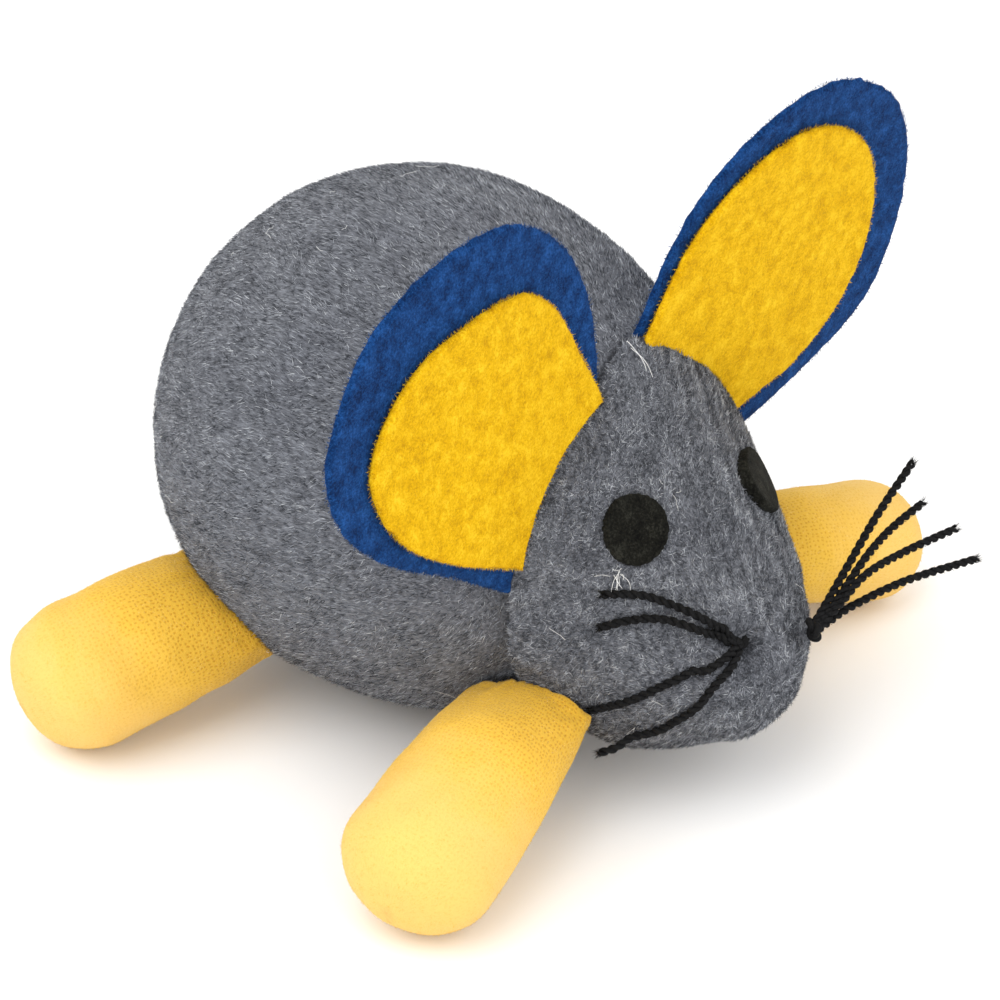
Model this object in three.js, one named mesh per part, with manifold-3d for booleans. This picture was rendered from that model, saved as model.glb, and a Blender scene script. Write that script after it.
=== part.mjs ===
// A soft plush mouse with a pull-cord clockwork movement that shakes it. Millimetres, +Z up.
// +X is the way the mouse faces, +Y is its left side, and it stands on Z = 0.
import * as THREE from 'three';
import { mergeVertices } from 'three/addons/utils/BufferGeometryUtils.js';
import Module from 'manifold-3d';

const wasm = await Module();
wasm.setup();

// ---------- driving dimensions ----------
const ORIGIN_SHIFT = [-17.5, 0.5, 0]; // from the middle of the ball body to the middle of the whole toy
const GAP = 0.3; // between pieces that touch
const CLOTH = 1.2; // thickness of the plush and of the felt
const LEG_CLOTH = 1.0;
const FINENESS = 0.02; // detail smaller than this is evened out after pieces are joined and cut
const NEARLY_CLOSED = 0.97; // of the quarter turn of a round end, where its small end face is

// the ball body: half sizes, height of its middle, and the plane where the head is sewn on
const BODY = {
  rear: 38.5, front: 46.4, side: 38.3, up: 39.2, z: 36.7, power: 2.2,
  neckX: 34.6, neckZ: 34.4,
};
const BELLY_R = 11.7;

// the head: a wedge from the neck ring to a blunt nose, bent a little to the mouse's right
const HEAD = {
  x: 35, z: 34, r: 27.6, length: 29, yaw: 27,
  noseStart: 0.9, noseTop: 31, noseHalfWidth: 9.6, noseZ: 20,
  topPower: 1.4, sidePower: 0.75, chinDrop: -2.6, chinRise: 9.4,
};

// legs: a point inside the root, the middle of the foot, and half sizes at the root and the foot
const LEG = { rootWide: 9, footWide: 11, rootHigh: 8.6, footHigh: 10.3, endShare: 0.9 };
const LEGS = {
  front_right: { root: [36.2, -22, 19.5], foot: [37.9, -50, 10.5] },
  front_left: { root: [36, 21, 19.5], foot: [47.2, 44.6, 10.5] },
  rear_right: { root: [-11.5, -22.5, 14.5], foot: [-22.2, -48.8, 10.5] },
  rear_left: { root: [-11.5, 22.5, 14.5], foot: [-22.2, 48.8, 10.5] },
};

// ears: the two ends of each sewn edge on the neck ring, in degrees from the top of the ring, how far
// the flat felt leans off the ring's plane, and the oval felts: size along the edge, size outwards,
// and where the middle is along the edge (+ towards its lower end) and outwards
const EAR = { ringR: 28.3, thick: 1.2, clear: 1.3 };
const EARS = {
  right: { side: -1, top: 17, bottom: 79, lean: -4, outer: [47, 54, -4.6, 24], inner: [37, 40, -2.2, 18] },
  left: { side: 1, top: 8, bottom: 86, lean: 12, outer: [51, 55, -1, 23], inner: [42, 41, -2.2, 21.5] },
};

const EYE = { r: 4.7, thick: 1.1, proud: 0.75 }; // proud: how far its back stands off the point it is at
const EYES = {
  right: { at: [44.1, -9.8, 42.9], out: [0.77, -0.36, 0.52] },
  left: { at: [48.2, 14.3, 39.1], out: [0.73, 0.4, 0.55] },
};

// whiskers: the points each thread passes, from beside the nose; the right ones lie along the cheek
const WHISKER_R = 0.5;
const WHISKERS = {
  right: [
    [[62.6, -7.2, 30.8], [58.2, -9.6, 32.9], [53.6, -12, 35.3], [49.6, -14.6, 36.8],
      [45.6, -18.4, 37.2]],
    [[62.8, -8.3, 30], [57.8, -11, 32.2], [53.4, -13.6, 33.8], [49.6, -17, 33.8],
      [46.4, -20.4, 33]],
    [[62.8, -8.8, 28.8], [59.8, -12.2, 28.4], [55.8, -16.4, 25.8], [51.3, -19.2, 22.4],
      [45.8, -21.8, 18.6]],
    [[62.8, -8, 27.8], [61.4, -11, 27], [59.6, -14.8, 22.6], [54.2, -17.6, 16.4],
      [50.6, -19.6, 15], [47.8, -22.2, 14]],
  ],
  left: [
    [[63.4, 6.8, 27.8], [64, 14, 31.1], [63.9, 22, 35.7], [64, 31, 39.9]],
    [[64.6, 7.4, 27.4], [65.3, 17, 31.8], [65.1, 24, 32.7], [66.1, 31, 33.8]],
    [[65.4, 7, 26.4], [66.4, 15, 30.6], [67.9, 23.5, 30.3], [70.9, 32.5, 30.5]],
    [[64.4, 6.4, 25.2], [65.4, 12.5, 26.1], [69.2, 22, 26.7], [74.3, 33, 26.4]],
  ],
};

// the clockwork movement: its own frame has the drum's axis at x = y = 0 and the case floor at z = 0
const MOVEMENT_AT = [-10, -1.45, 18.5];
const CASE = { x: [-13.2, 33.2], y: [-13.2, 16.1], height: 14.5, wall: 1.5, corner: 3 };
const BOSS_INSET = 2.4;
const BOSS_R = 2.5;
const SCREW = { shankR: 0.9, headR: 1.9, headHeight: 1.1, length: 7 };
const TOOTH = { module: 0.6, pressure: 25, addendum: 0.8, dedendum: 1.05, backlash: 0.12 };
const TEETH = { drum: 40, idlerPinion: 10, idlerGear: 24, rotorPinion: 10 };
const ROTOR_ANGLE = 50; // of the rotor as seen from the idler
const AXLE_R = 0.75;
const BORE_R = 1.05;
const ARBOR_R = 1.4;
const WEIGHT_R = 8;
const CORD_HEIGHT = 8.75; // of the pull cord above the case floor
const CORD_SIDE = 7.6; // of the pull cord from the drum's axis
const BUSH = { hole: 1.2, barrel: 2.2, flange: 3, thick: 0.8, depth: 2.6 };
const EYELET = {
  hole: 1.5, barrel: 2.2, flange: 3.8, thick: 0.8, depth: 4,
  at: [-37.6, 0, 28.2], tilt: 12.3,
};
const CORD_TUNNEL_R = 3;
const DRUM = { insideR: 5.9, spoolR: 7, flangeR: 8.2, flangeThick: 0.6, capThick: 0.8 };
const SPRING = { turns: 5, thick: 0.25, outerR: 5.4, height: 8.4, clear: 0.5 };
const HUB = { r: 1.7, height: 6.4 };
const WEIGHT_COLLAR_R = 3.2;
const IDLER_AXLE_TOP = 6.2;
const SLOT = { length: 5, width: 0.5, depth: 1 };
const FIT = 0.1; // between pieces of the movement that press or stand on each other

// ---------- helpers ----------
const toRad = (degrees) => THREE.MathUtils.degToRad(degrees);
const vec = (p) => new THREE.Vector3(...p);
const colour = (hex, roughness, metalness = 0) =>
  new THREE.MeshStandardMaterial({ color: hex, roughness, metalness });

// a closed geometry as a solid that can be joined and cut
function solidOf(geometry) {
  const bare = geometry.clone();
  bare.deleteAttribute('normal');
  bare.deleteAttribute('uv');
  const merged = mergeVertices(bare, 1e-4);
  const mesh = new wasm.Mesh({
    numProp: 3,
    vertProperties: new Float32Array(merged.attributes.position.array),
    triVerts: new Uint32Array(merged.index.array),
  });
  return new wasm.Manifold(mesh);
}

function geometryOf(solid) {
  const mesh = solid.simplify(FINENESS).getMesh();
  const geometry = new THREE.BufferGeometry();
  geometry.setAttribute('position', new THREE.BufferAttribute(new Float32Array(mesh.vertProperties), 3));
  geometry.setIndex(new THREE.BufferAttribute(new Uint32Array(mesh.triVerts), 1));
  geometry.computeVertexNormals();
  return geometry;
}

// a closed skin through rings of points, with a point at the middle of each end ring;
// the rings run so that their points turn anticlockwise as seen from the last ring
function loft(rings) {
  const count = rings[0].length;
  const points = rings.flat();
  const faces = [];
  for (let ring = 0; ring + 1 < rings.length; ring++) {
    for (let i = 0; i < count; i++) {
      const j = (i + 1) % count;
      const [a, b] = [ring * count + i, ring * count + j];
      faces.push(a, b, b + count, a, b + count, a + count);
    }
  }
  for (const [ring, turn] of [[0, false], [rings.length - 1, true]]) {
    const centre = rings[ring].reduce((sum, p) => sum.add(p), new THREE.Vector3()).divideScalar(count);
    const tip = points.push(centre) - 1;
    for (let i = 0; i < count; i++) {
      const [a, b] = [ring * count + i, ring * count + ((i + 1) % count)];
      faces.push(...(turn ? [tip, a, b] : [tip, b, a]));
    }
  }
  const geometry = new THREE.BufferGeometry().setFromPoints(points);
  geometry.setIndex(faces);
  return geometry;
}

// an oval ring of points about a centre, turning from `up` towards `side`
function oval(centre, side, up, halfSide, halfUp, count) {
  return Array.from({ length: count }, (_, i) => {
    const turn = (2 * Math.PI * i) / count;
    return centre.clone()
      .addScaledVector(side, halfSide * Math.sin(turn))
      .addScaledVector(up, halfUp * Math.cos(turn));
  });
}

function extrude(shape, depth, z, curveSegments = 8) {
  const geometry = new THREE.ExtrudeGeometry(shape, { depth, bevelEnabled: false, curveSegments });
  return geometry.translate(0, 0, z);
}

function circleShape(r, hole = 0) {
  const shape = new THREE.Shape().absarc(0, 0, r, 0, 2 * Math.PI);
  if (hole) shape.holes.push(new THREE.Path().absarc(0, 0, hole, 0, 2 * Math.PI));
  return shape;
}

// a cylinder along Z from z0 to z1 at x, y
function post(r, z0, z1, x = 0, y = 0, sides = 16) {
  const geometry = new THREE.CylinderGeometry(r, r, z1 - z0, sides).rotateX(Math.PI / 2);
  return geometry.translate(x, y, (z0 + z1) / 2);
}

// a cylinder between two points
function rod(r, from, to, sides = 16) {
  const along = to.clone().sub(from);
  const geometry = new THREE.CylinderGeometry(r, r, along.length(), sides);
  geometry.applyQuaternion(new THREE.Quaternion().setFromUnitVectors(
    new THREE.Vector3(0, 1, 0), along.clone().normalize()));
  return geometry.translate(...from.clone().add(to).multiplyScalar(0.5));
}

function roundedBoxShape([x0, x1], [y0, y1], r) {
  const shape = new THREE.Shape();
  shape.absarc(x1 - r, y1 - r, r, 0, Math.PI / 2);
  shape.absarc(x0 + r, y1 - r, r, Math.PI / 2, Math.PI);
  shape.absarc(x0 + r, y0 + r, r, Math.PI, 1.5 * Math.PI);
  shape.absarc(x1 - r, y0 + r, r, 1.5 * Math.PI, 2 * Math.PI);
  return shape;
}

const grown = ([low, high], by) => [low - by, high + by];

// ---------- the soft body ----------
const BODY_SIDES = 28;

// the ball's half width, as a share of its largest, at a distance x from its middle
function bodyShare(x, inset) {
  if (x < 0) return Math.sqrt(Math.max(0, 1 - (x / (BODY.rear - inset)) ** 2));
  return Math.sqrt(1 - (x / (BODY.front - inset)) ** BODY.power);
}

// the ball, smaller all round by inset, from the rear to `end`, with a flat belly at height `floor`
function bodySolid(inset, end, floor) {
  const rearSteps = 7;
  const frontSteps = 5;
  const stations = [];
  for (let i = 0; i <= rearSteps; i++) {
    const turn = (Math.PI / 2) * Math.max(i / rearSteps, 0.02);
    stations.push(-(BODY.rear - inset) * Math.cos(turn));
  }
  for (let i = 1; i < frontSteps; i++) stations.push((BODY.neckX * i) / frontSteps);
  if (end > BODY.neckX) stations.push(BODY.neckX);
  stations.push(end);
  const rings = stations.map((x) => {
    const share = bodyShare(x, inset);
    const middle = x < 0 ? BODY.z : BODY.z + (BODY.neckZ - BODY.z) * (x / BODY.neckX) ** 2;
    const centre = new THREE.Vector3(x, 0, middle);
    const [wide, high] = [(BODY.side - inset) * share, (BODY.up - inset) * share];
    const ring = oval(centre, vec([0, -1, 0]), vec([0, 0, 1]), wide, high, BODY_SIDES);
    ring.forEach((p) => p.setZ(Math.max(p.z, floor)));
    return ring;
  });
  return solidOf(loft(rings));
}

// the way into the body through the cord's eyelet
const INWARD = new THREE.Vector3(Math.cos(toRad(EYELET.tilt)), 0, Math.sin(toRad(EYELET.tilt)));

function eyeletHole() {
  const reach = (distance) => vec(EYELET.at).addScaledVector(INWARD, distance);
  return solidOf(rod(EYELET.barrel + GAP, reach(-3), reach(EYELET.depth + GAP)));
}

function cordTunnel() {
  const from = vec(EYELET.at).addScaledVector(INWARD, EYELET.depth - 1);
  const to = vec(MOVEMENT_AT).add(vec([CASE.x[0] - CASE.wall - 1.5, CORD_SIDE, CORD_HEIGHT]));
  const bushRoom = rod(BUSH.flange + 2 * GAP, to, to.clone().add(vec([3, 0, 0])));
  return solidOf(rod(CORD_TUNNEL_R, from, to)).add(solidOf(bushRoom));
}

function bodyCover() {
  const opening = solidOf(post(BELLY_R + GAP, -2, CLOTH + 1, 0, 0, 32));
  const shell = bodySolid(0, BODY.neckX, 0).subtract(bodySolid(CLOTH, BODY.neckX + 2, CLOTH));
  return geometryOf(shell.subtract(opening).subtract(eyeletHole()));
}

function bellyPanel() {
  return post(BELLY_R, 0, CLOTH, 0, 0, 32);
}

// the wadding, with a pocket for the movement that opens at the belly and a tunnel for the cord
function bodyStuffing() {
  const [mx, my, mz] = MOVEMENT_AT;
  const room = CASE.wall + GAP;
  const pocketShape = roundedBoxShape(grown(CASE.x, room), grown(CASE.y, room), CASE.corner);
  const pocketTop = mz + CASE.height + CASE.wall + SCREW.headHeight + 2 * GAP;
  const pocket = solidOf(extrude(pocketShape, CASE.height + 2 * CASE.wall + SCREW.headHeight + 3 * GAP,
    mz - CASE.wall - GAP).translate(mx, my, 0));
  const throat = solidOf(post(BELLY_R - 1, -1, pocketTop - 6, 0, 0, 24));
  const wadding = bodySolid(CLOTH + GAP, BODY.neckX - 0.8, CLOTH + GAP);
  const cordWay = eyeletHole().add(cordTunnel());
  return geometryOf(wadding.subtract(pocket).subtract(throat).subtract(cordWay));
}

// ---------- the head ----------
const HEAD_SIDES = 24;

// where the head's bent middle line is, and which way it points, at a share s of its length
function headAxis(s) {
  const bend = toRad(HEAD.yaw);
  return {
    x: HEAD.x + (HEAD.length * Math.sin(bend * s)) / bend,
    y: (-HEAD.length * (1 - Math.cos(bend * s))) / bend,
    right: new THREE.Vector3(-Math.sin(bend * s), -Math.cos(bend * s), 0),
  };
}

// top, bottom and half width of the head at a share s of its length, before the nose rounds over
function headSection(s) {
  const share = Math.min(s / HEAD.noseStart, 0.999);
  const [ringTop, ringBottom] = [HEAD.z + HEAD.r, HEAD.z - HEAD.r];
  return {
    top: HEAD.noseTop + (ringTop - HEAD.noseTop) * (1 - share) ** HEAD.topPower,
    bottom: ringBottom + HEAD.chinDrop * share + HEAD.chinRise * share ** 2,
    half: HEAD.noseHalfWidth + (HEAD.r - HEAD.noseHalfWidth) * (1 - share) ** HEAD.sidePower,
  };
}

// one ring of the head; `round` closes the ring towards the nose tip as it goes from 1 to 0
function headRing(s, inset, round = 1) {
  const { x, y, right } = headAxis(s);
  const { top, bottom, half } = headSection(Math.min(s, HEAD.noseStart));
  const middle = (top + bottom) / 2;
  const centre = new THREE.Vector3(x, y, HEAD.noseZ + (middle - HEAD.noseZ) * round);
  if (round === 1) centre.setZ(middle);
  const [wide, high] = [(half - inset) * round, ((top - bottom) / 2 - inset) * round];
  return oval(centre, right, vec([0, 0, 1]), wide, high, HEAD_SIDES);
}

// the head, smaller all round by inset, with its base moved by `back` along X
function headSolid(inset, back) {
  const bodySteps = 7;
  const noseSteps = 4;
  const rings = [];
  if (back) rings.push(headRing(0, inset).map((p) => p.setX(p.x + back)));
  for (let i = 0; i <= bodySteps; i++) rings.push(headRing((HEAD.noseStart * i) / bodySteps, inset));
  const noseEnd = 1 - inset / HEAD.length;
  for (let i = 1; i <= noseSteps; i++) {
    const turn = (Math.PI / 2) * Math.min(i / noseSteps, NEARLY_CLOSED);
    const s = HEAD.noseStart + (noseEnd - HEAD.noseStart) * Math.sin(turn);
    rings.push(headRing(s, inset, Math.cos(turn)));
  }
  return solidOf(loft(rings));
}

function headCover() {
  return geometryOf(headSolid(0, 0).subtract(headSolid(CLOTH, -3)));
}

function headStuffing() {
  const base = solidOf(rod(HEAD.r + 3, vec([HEAD.x - 4, 0, HEAD.z]), vec([HEAD.x + 0.4, 0, HEAD.z])));
  return geometryOf(headSolid(CLOTH + GAP, 0).subtract(base));
}

// ---------- the legs ----------
const LEG_SIDES = 16;

// the axis of a leg, level across it, and its upward normal
function legFrame({ root, foot }) {
  const along = vec(foot).sub(vec(root));
  const length = along.length();
  along.normalize();
  const across = new THREE.Vector3().crossVectors(along, vec([0, 0, 1])).normalize();
  return { along, across, up: new THREE.Vector3().crossVectors(across, along), length };
}

// a stuffed tube to the foot with a round end, smaller all round by inset, from `start` past the root
function legSolid(leg, inset, start) {
  const { along, across, up, length } = legFrame(leg);
  const tubeSteps = 3;
  const endSteps = 4;
  const at = (distance) => vec(leg.root).addScaledVector(along, distance);
  const rings = [];
  for (let i = 0; i <= tubeSteps; i++) {
    const s = i / tubeSteps;
    const wide = THREE.MathUtils.lerp(LEG.rootWide, LEG.footWide, Math.sin((s * Math.PI) / 2)) - inset;
    const high = THREE.MathUtils.lerp(LEG.rootHigh, LEG.footHigh, s) - inset;
    rings.push(oval(at(i ? s * length : start), across, up, wide, high, LEG_SIDES));
  }
  for (let i = 1; i <= endSteps; i++) {
    const turn = (Math.PI / 2) * Math.min(i / endSteps, NEARLY_CLOSED);
    const round = Math.cos(turn);
    const [wide, high] = [(LEG.footWide - inset) * round, (LEG.footHigh - inset) * round];
    const reach = length + (LEG.footWide * LEG.endShare - inset) * Math.sin(turn);
    rings.push(oval(at(reach), across, up, wide, high, LEG_SIDES));
  }
  rings.forEach((ring) => ring.forEach((p) => p.setZ(Math.max(p.z, inset))));
  return solidOf(loft(rings));
}

// the space a leg keeps clear: the body and the head, larger all round
const aroundBody = bodySolid(-0.8, BODY.neckX + 1, -1);
const aroundHead = headSolid(-1, -0.6);

function legCover(leg) {
  const tube = legSolid(leg, 0, 0).subtract(aroundBody).subtract(aroundHead);
  return geometryOf(tube.subtract(legSolid(leg, LEG_CLOTH, -3)));
}

function legStuffing(leg) {
  return geometryOf(legSolid(leg, LEG_CLOTH + GAP, 0.5).subtract(aroundBody).subtract(aroundHead));
}

// ---------- the ears ----------
const earSpace = bodySolid(-EAR.clear, BODY.neckX + 0.5, -1).add(headSolid(-EAR.clear, -1));

// the ends of an ear's sewn edge and the plane of its felt
function earFrame({ side, top, bottom, lean }) {
  const onRing = (degrees) => {
    const turn = toRad(degrees);
    const [y, z] = [side * EAR.ringR * Math.sin(turn), HEAD.z + EAR.ringR * Math.cos(turn)];
    return new THREE.Vector3(HEAD.x - 0.2, y, z);
  };
  const [upper, lower] = [onRing(top), onRing(bottom)];
  const along = lower.clone().sub(upper).normalize();
  const middle = upper.clone().add(lower).multiplyScalar(0.5);
  const radial = new THREE.Vector3().crossVectors(along, vec([1, 0, 0])).multiplyScalar(-side).normalize();
  const away = radial.multiplyScalar(Math.cos(toRad(lean))).add(vec([Math.sin(toRad(lean)), 0, 0]));
  const face = new THREE.Vector3().crossVectors(along, away).multiplyScalar(side).normalize();
  return { along, middle, away, face };
}

// an oval felt plate in the ear's plane, `from` to `from + thick` in front of it
function earPlate(ear, [wide, long, shift, rise], from) {
  const { along, middle, away, face } = earFrame(ear);
  const across = new THREE.Vector3().crossVectors(away, face);
  const place = new THREE.Matrix4().makeBasis(across, away, face);
  place.setPosition(middle);
  const centre = across.dot(along) * shift;
  const shape = new THREE.Shape().absellipse(centre, rise, wide / 2, long / 2, 0, 2 * Math.PI);
  return geometryOf(solidOf(extrude(shape, EAR.thick, from, 20).applyMatrix4(place)).subtract(earSpace));
}

const earOuter = (ear) => earPlate(ear, ear.outer, -EAR.thick / 2);
const earInner = (ear) => earPlate(ear, ear.inner, EAR.thick / 2 + GAP / 2);

// ---------- eyes and whiskers ----------
function eye({ at, out }) {
  const normal = vec(out).normalize();
  const back = vec(at).addScaledVector(normal, EYE.proud);
  return rod(EYE.r, back, back.clone().addScaledVector(normal, EYE.thick), 24);
}

function whisker(points) {
  const curve = new THREE.CatmullRomCurve3(points.map(vec), false, 'centripetal');
  const section = new THREE.Shape().absarc(0, 0, WHISKER_R, 0, 2 * Math.PI);
  return new THREE.ExtrudeGeometry(section, { steps: 8, extrudePath: curve, curveSegments: 3 });
}

// ---------- the cord inlet at the rear ----------
// a flanged ring that a cord comes out of, with its flange's outer face at z = 0
function inletRing({ hole, barrel, flange, thick, depth }, sides) {
  const profile = [
    [hole, 0], [flange, 0], [flange, thick], [barrel, thick], [barrel, depth], [hole, depth],
  ];
  const points = [...profile, profile[0]].map(([r, z]) => new THREE.Vector2(r, z));
  return new THREE.LatheGeometry(points, sides);
}

function cordEyelet() {
  const ring = inletRing(EYELET, 20);
  ring.rotateZ(-Math.PI / 2).rotateY(toRad(-EYELET.tilt));
  return ring.translate(...vec(EYELET.at).addScaledVector(INWARD, -EYELET.thick - 0.5));
}

// ---------- the clockwork movement, in its own frame ----------
const pitchR = (teeth) => (TOOTH.module * teeth) / 2;
const IDLER_AT = new THREE.Vector2(pitchR(TEETH.drum) + pitchR(TEETH.idlerPinion), 0);
const ROTOR_AT = new THREE.Vector2(Math.cos(toRad(ROTOR_ANGLE)), Math.sin(toRad(ROTOR_ANGLE)))
  .multiplyScalar(pitchR(TEETH.idlerGear) + pitchR(TEETH.rotorPinion)).add(IDLER_AT);
const LEVEL = {
  drumGear: [0.5, 2.5], idlerPinion: [0.5, 3.4], idlerGear: [3.3, 5.3], rotorPinion: [3.1, 6.2],
  wall: [2.4, 12], cord: [6.3, 11.2], weight: [6.5, 12],
};

const involute = (angle) => Math.tan(angle) - angle;

// a spur gear's outline with involute flanks, turned so that a tooth's middle is at `phase` radians
function gearShape(teeth, phase, bore) {
  const r = pitchR(teeth);
  const base = r * Math.cos(toRad(TOOTH.pressure));
  const tip = r + TOOTH.addendum * TOOTH.module;
  const root = r - TOOTH.dedendum * TOOTH.module;
  const halfAtPitch = ((Math.PI * TOOTH.module) / 2 - TOOTH.backlash) / (2 * r);
  const atPitch = halfAtPitch + involute(toRad(TOOTH.pressure));
  const half = (at) => atPitch - involute(Math.acos(base / Math.max(at, base)));
  const low = Math.max(root, base);
  const flank = [root, low + (tip - low) * 0.45, tip];
  const points = [];
  for (let tooth = 0; tooth < teeth; tooth++) {
    const middle = phase + (2 * Math.PI * tooth) / teeth;
    for (const at of flank) points.push([at, middle - half(at)]);
    for (const at of [...flank].reverse()) points.push([at, middle + half(at)]);
  }
  const shape = new THREE.Shape(points.map(([at, turn]) =>
    new THREE.Vector2(at * Math.cos(turn), at * Math.sin(turn))));
  if (bore) shape.holes.push(new THREE.Path().absarc(0, 0, bore, 0, 2 * Math.PI));
  return shape;
}

const gearSolid = (teeth, phase, bore, [low, high]) =>
  solidOf(extrude(gearShape(teeth, phase, bore), high - low, low, 4));

// phases that put a tooth of one gear in a gap of the next
const gapTowards = (teeth, angle) => angle + Math.PI / teeth;
const IDLER_PINION_PHASE = gapTowards(TEETH.idlerPinion, Math.PI);
const IDLER_GEAR_PHASE = toRad(ROTOR_ANGLE);
const ROTOR_PHASE = gapTowards(TEETH.rotorPinion, toRad(ROTOR_ANGLE) + Math.PI);

// the drum: a gear with the spring housing on it, whose outside is the spool for the cord
function springDrum() {
  const [low, high] = LEVEL.wall;
  const [cordLow, cordHigh] = LEVEL.cord;
  const { insideR: inside, spoolR: spool, flangeR: flange } = DRUM;
  const under = cordLow - DRUM.flangeThick;
  const profile = [
    [inside, low], [spool, low], [spool, under], [flange, under], [flange, cordLow],
    [spool, cordLow], [spool, cordHigh], [flange, cordHigh], [flange, high], [inside, high], [inside, low],
  ];
  const points = profile.map(([r, z]) => new THREE.Vector2(r, z));
  const wall = solidOf(new THREE.LatheGeometry(points, 28).rotateX(Math.PI / 2));
  return geometryOf(gearSolid(TEETH.drum, 0, ARBOR_R + GAP, LEVEL.drumGear).add(wall));
}

function drumCap() {
  return extrude(circleShape(DRUM.spoolR, ARBOR_R + GAP), DRUM.capThick, LEVEL.wall[1] + GAP, 14);
}

function springArbor() {
  return post(ARBOR_R, FIT, CASE.height - 2 * FIT);
}

// a flat steel strip wound from the arbor out to the housing
function mainspring() {
  const { turns, thick, outerR: outer } = SPRING;
  const inner = ARBOR_R + SPRING.clear;
  const steps = 14 * turns;
  const edge = (offset) => Array.from({ length: steps + 1 }, (_, i) => {
    const turn = (2 * Math.PI * turns * i) / steps;
    const r = inner + ((outer - inner) * i) / steps + offset;
    return new THREE.Vector2(r * Math.cos(turn), r * Math.sin(turn));
  });
  const shape = new THREE.Shape([...edge(thick), ...edge(0).reverse()]);
  return extrude(shape, SPRING.height, LEVEL.wall[0] + SPRING.clear);
}

function idlerGear() {
  const pinion = gearSolid(TEETH.idlerPinion, IDLER_PINION_PHASE, BORE_R, LEVEL.idlerPinion);
  const gear = gearSolid(TEETH.idlerGear, IDLER_GEAR_PHASE, BORE_R, LEVEL.idlerGear);
  return geometryOf(pinion.add(gear)).translate(IDLER_AT.x, IDLER_AT.y, 0);
}

function weightRotor() {
  const pinion = gearSolid(TEETH.rotorPinion, ROTOR_PHASE, BORE_R, LEVEL.rotorPinion);
  const hubShape = circleShape(HUB.r, BORE_R);
  const hub = solidOf(extrude(hubShape, HUB.height, LEVEL.rotorPinion[1] - FIT, 4));
  return geometryOf(pinion.add(hub)).translate(ROTOR_AT.x, ROTOR_AT.y, 0);
}

// a brass half disc round the hub, with a collar that closes it on the other side
function eccentricWeight() {
  const [low, high] = LEVEL.weight;
  const half = new THREE.Shape().absarc(0, 0, WEIGHT_R, 0, Math.PI);
  const disc = solidOf(extrude(half, high - low, low, 20));
  const collar = solidOf(post(WEIGHT_COLLAR_R, low, high, 0, 0, 24));
  const hole = solidOf(post(HUB.r + GAP, 0, high + 1, 0, 0, 24));
  return geometryOf(disc.add(collar).subtract(hole)).translate(ROTOR_AT.x, ROTOR_AT.y, 0);
}

const axle = (at, top) => post(AXLE_R, FIT, top, at.x, at.y, 12);

function bossPlaces() {
  const xs = [CASE.x[0] + BOSS_INSET, CASE.x[1] - BOSS_INSET];
  const ys = [CASE.y[0] + BOSS_INSET, CASE.y[1] - BOSS_INSET];
  return xs.flatMap((x) => ys.map((y) => [x, y]));
}

const cordHole = (r, from, to) =>
  solidOf(rod(r, vec([from, CORD_SIDE, CORD_HEIGHT]), vec([to, CORD_SIDE, CORD_HEIGHT])));

function caseBase() {
  const { wall, height, corner } = CASE;
  const outside = roundedBoxShape(grown(CASE.x, wall), grown(CASE.y, wall), corner);
  const outer = extrude(outside, height + wall, -wall);
  const hollow = extrude(roundedBoxShape(CASE.x, CASE.y, corner - wall), height + 1, 0);
  let base = solidOf(outer).subtract(solidOf(hollow));
  for (const [x, y] of bossPlaces()) base = base.add(solidOf(post(BOSS_R, -0.5, height - FIT, x, y)));
  for (const [x, y] of bossPlaces()) {
    base = base.subtract(solidOf(post(SCREW.shankR + GAP, height - SCREW.length, height + 1, x, y, 12)));
  }
  return geometryOf(base.subtract(cordHole(BUSH.barrel + GAP, CASE.x[0] - 4, CASE.x[0] + 1)));
}

function caseLid() {
  const low = CASE.height + FIT;
  const plate = roundedBoxShape(grown(CASE.x, CASE.wall), grown(CASE.y, CASE.wall), CASE.corner);
  let lid = solidOf(extrude(plate, CASE.wall, low));
  for (const [x, y] of bossPlaces()) {
    lid = lid.subtract(solidOf(post(SCREW.shankR + GAP, low - 1, low + CASE.wall + 1, x, y, 12)));
  }
  return geometryOf(lid);
}

function caseScrew(x, y) {
  const seat = CASE.height + CASE.wall + GAP;
  const shank = solidOf(post(SCREW.shankR, seat - SCREW.length, seat + FIT, x, y, 12));
  const head = solidOf(post(SCREW.headR, seat, seat + SCREW.headHeight, x, y, 16));
  const slot = new THREE.BoxGeometry(SLOT.length, SLOT.width, SLOT.depth);
  slot.translate(x, y, seat + SCREW.headHeight);
  return geometryOf(shank.add(head).subtract(solidOf(slot)));
}

function cordBush() {
  const ring = inletRing(BUSH, 16).rotateZ(-Math.PI / 2);
  return ring.translate(CASE.x[0] - CASE.wall - BUSH.thick - FIT, CORD_SIDE, CORD_HEIGHT);
}

// ---------- the assembly ----------
const plush = colour(0x6e7075, 0.95);
const yellowKnit = colour(0xf4c64a, 0.9);
const blueFelt = colour(0x1d3f86, 0.95);
const yellowFelt = colour(0xe9b823, 0.95);
const blackFelt = colour(0x17171a, 0.95);
const blackThread = colour(0x0f0f11, 0.8);
const wadding = colour(0xeeece6, 1);
const nickel = colour(0xb9bcc0, 0.3, 0.9);
const steel = colour(0x9a9da2, 0.35, 0.9);
const brass = colour(0xb8923f, 0.35, 0.9);
const whitePlastic = colour(0xe4e2da, 0.5);
const greyPlastic = colour(0x8d9196, 0.5);

const mouse = new THREE.Group();
mouse.position.set(...ORIGIN_SHIFT);

function add(group, name, geometry, material) {
  const mesh = new THREE.Mesh(geometry, material);
  mesh.name = name;
  group.add(mesh);
}

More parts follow.
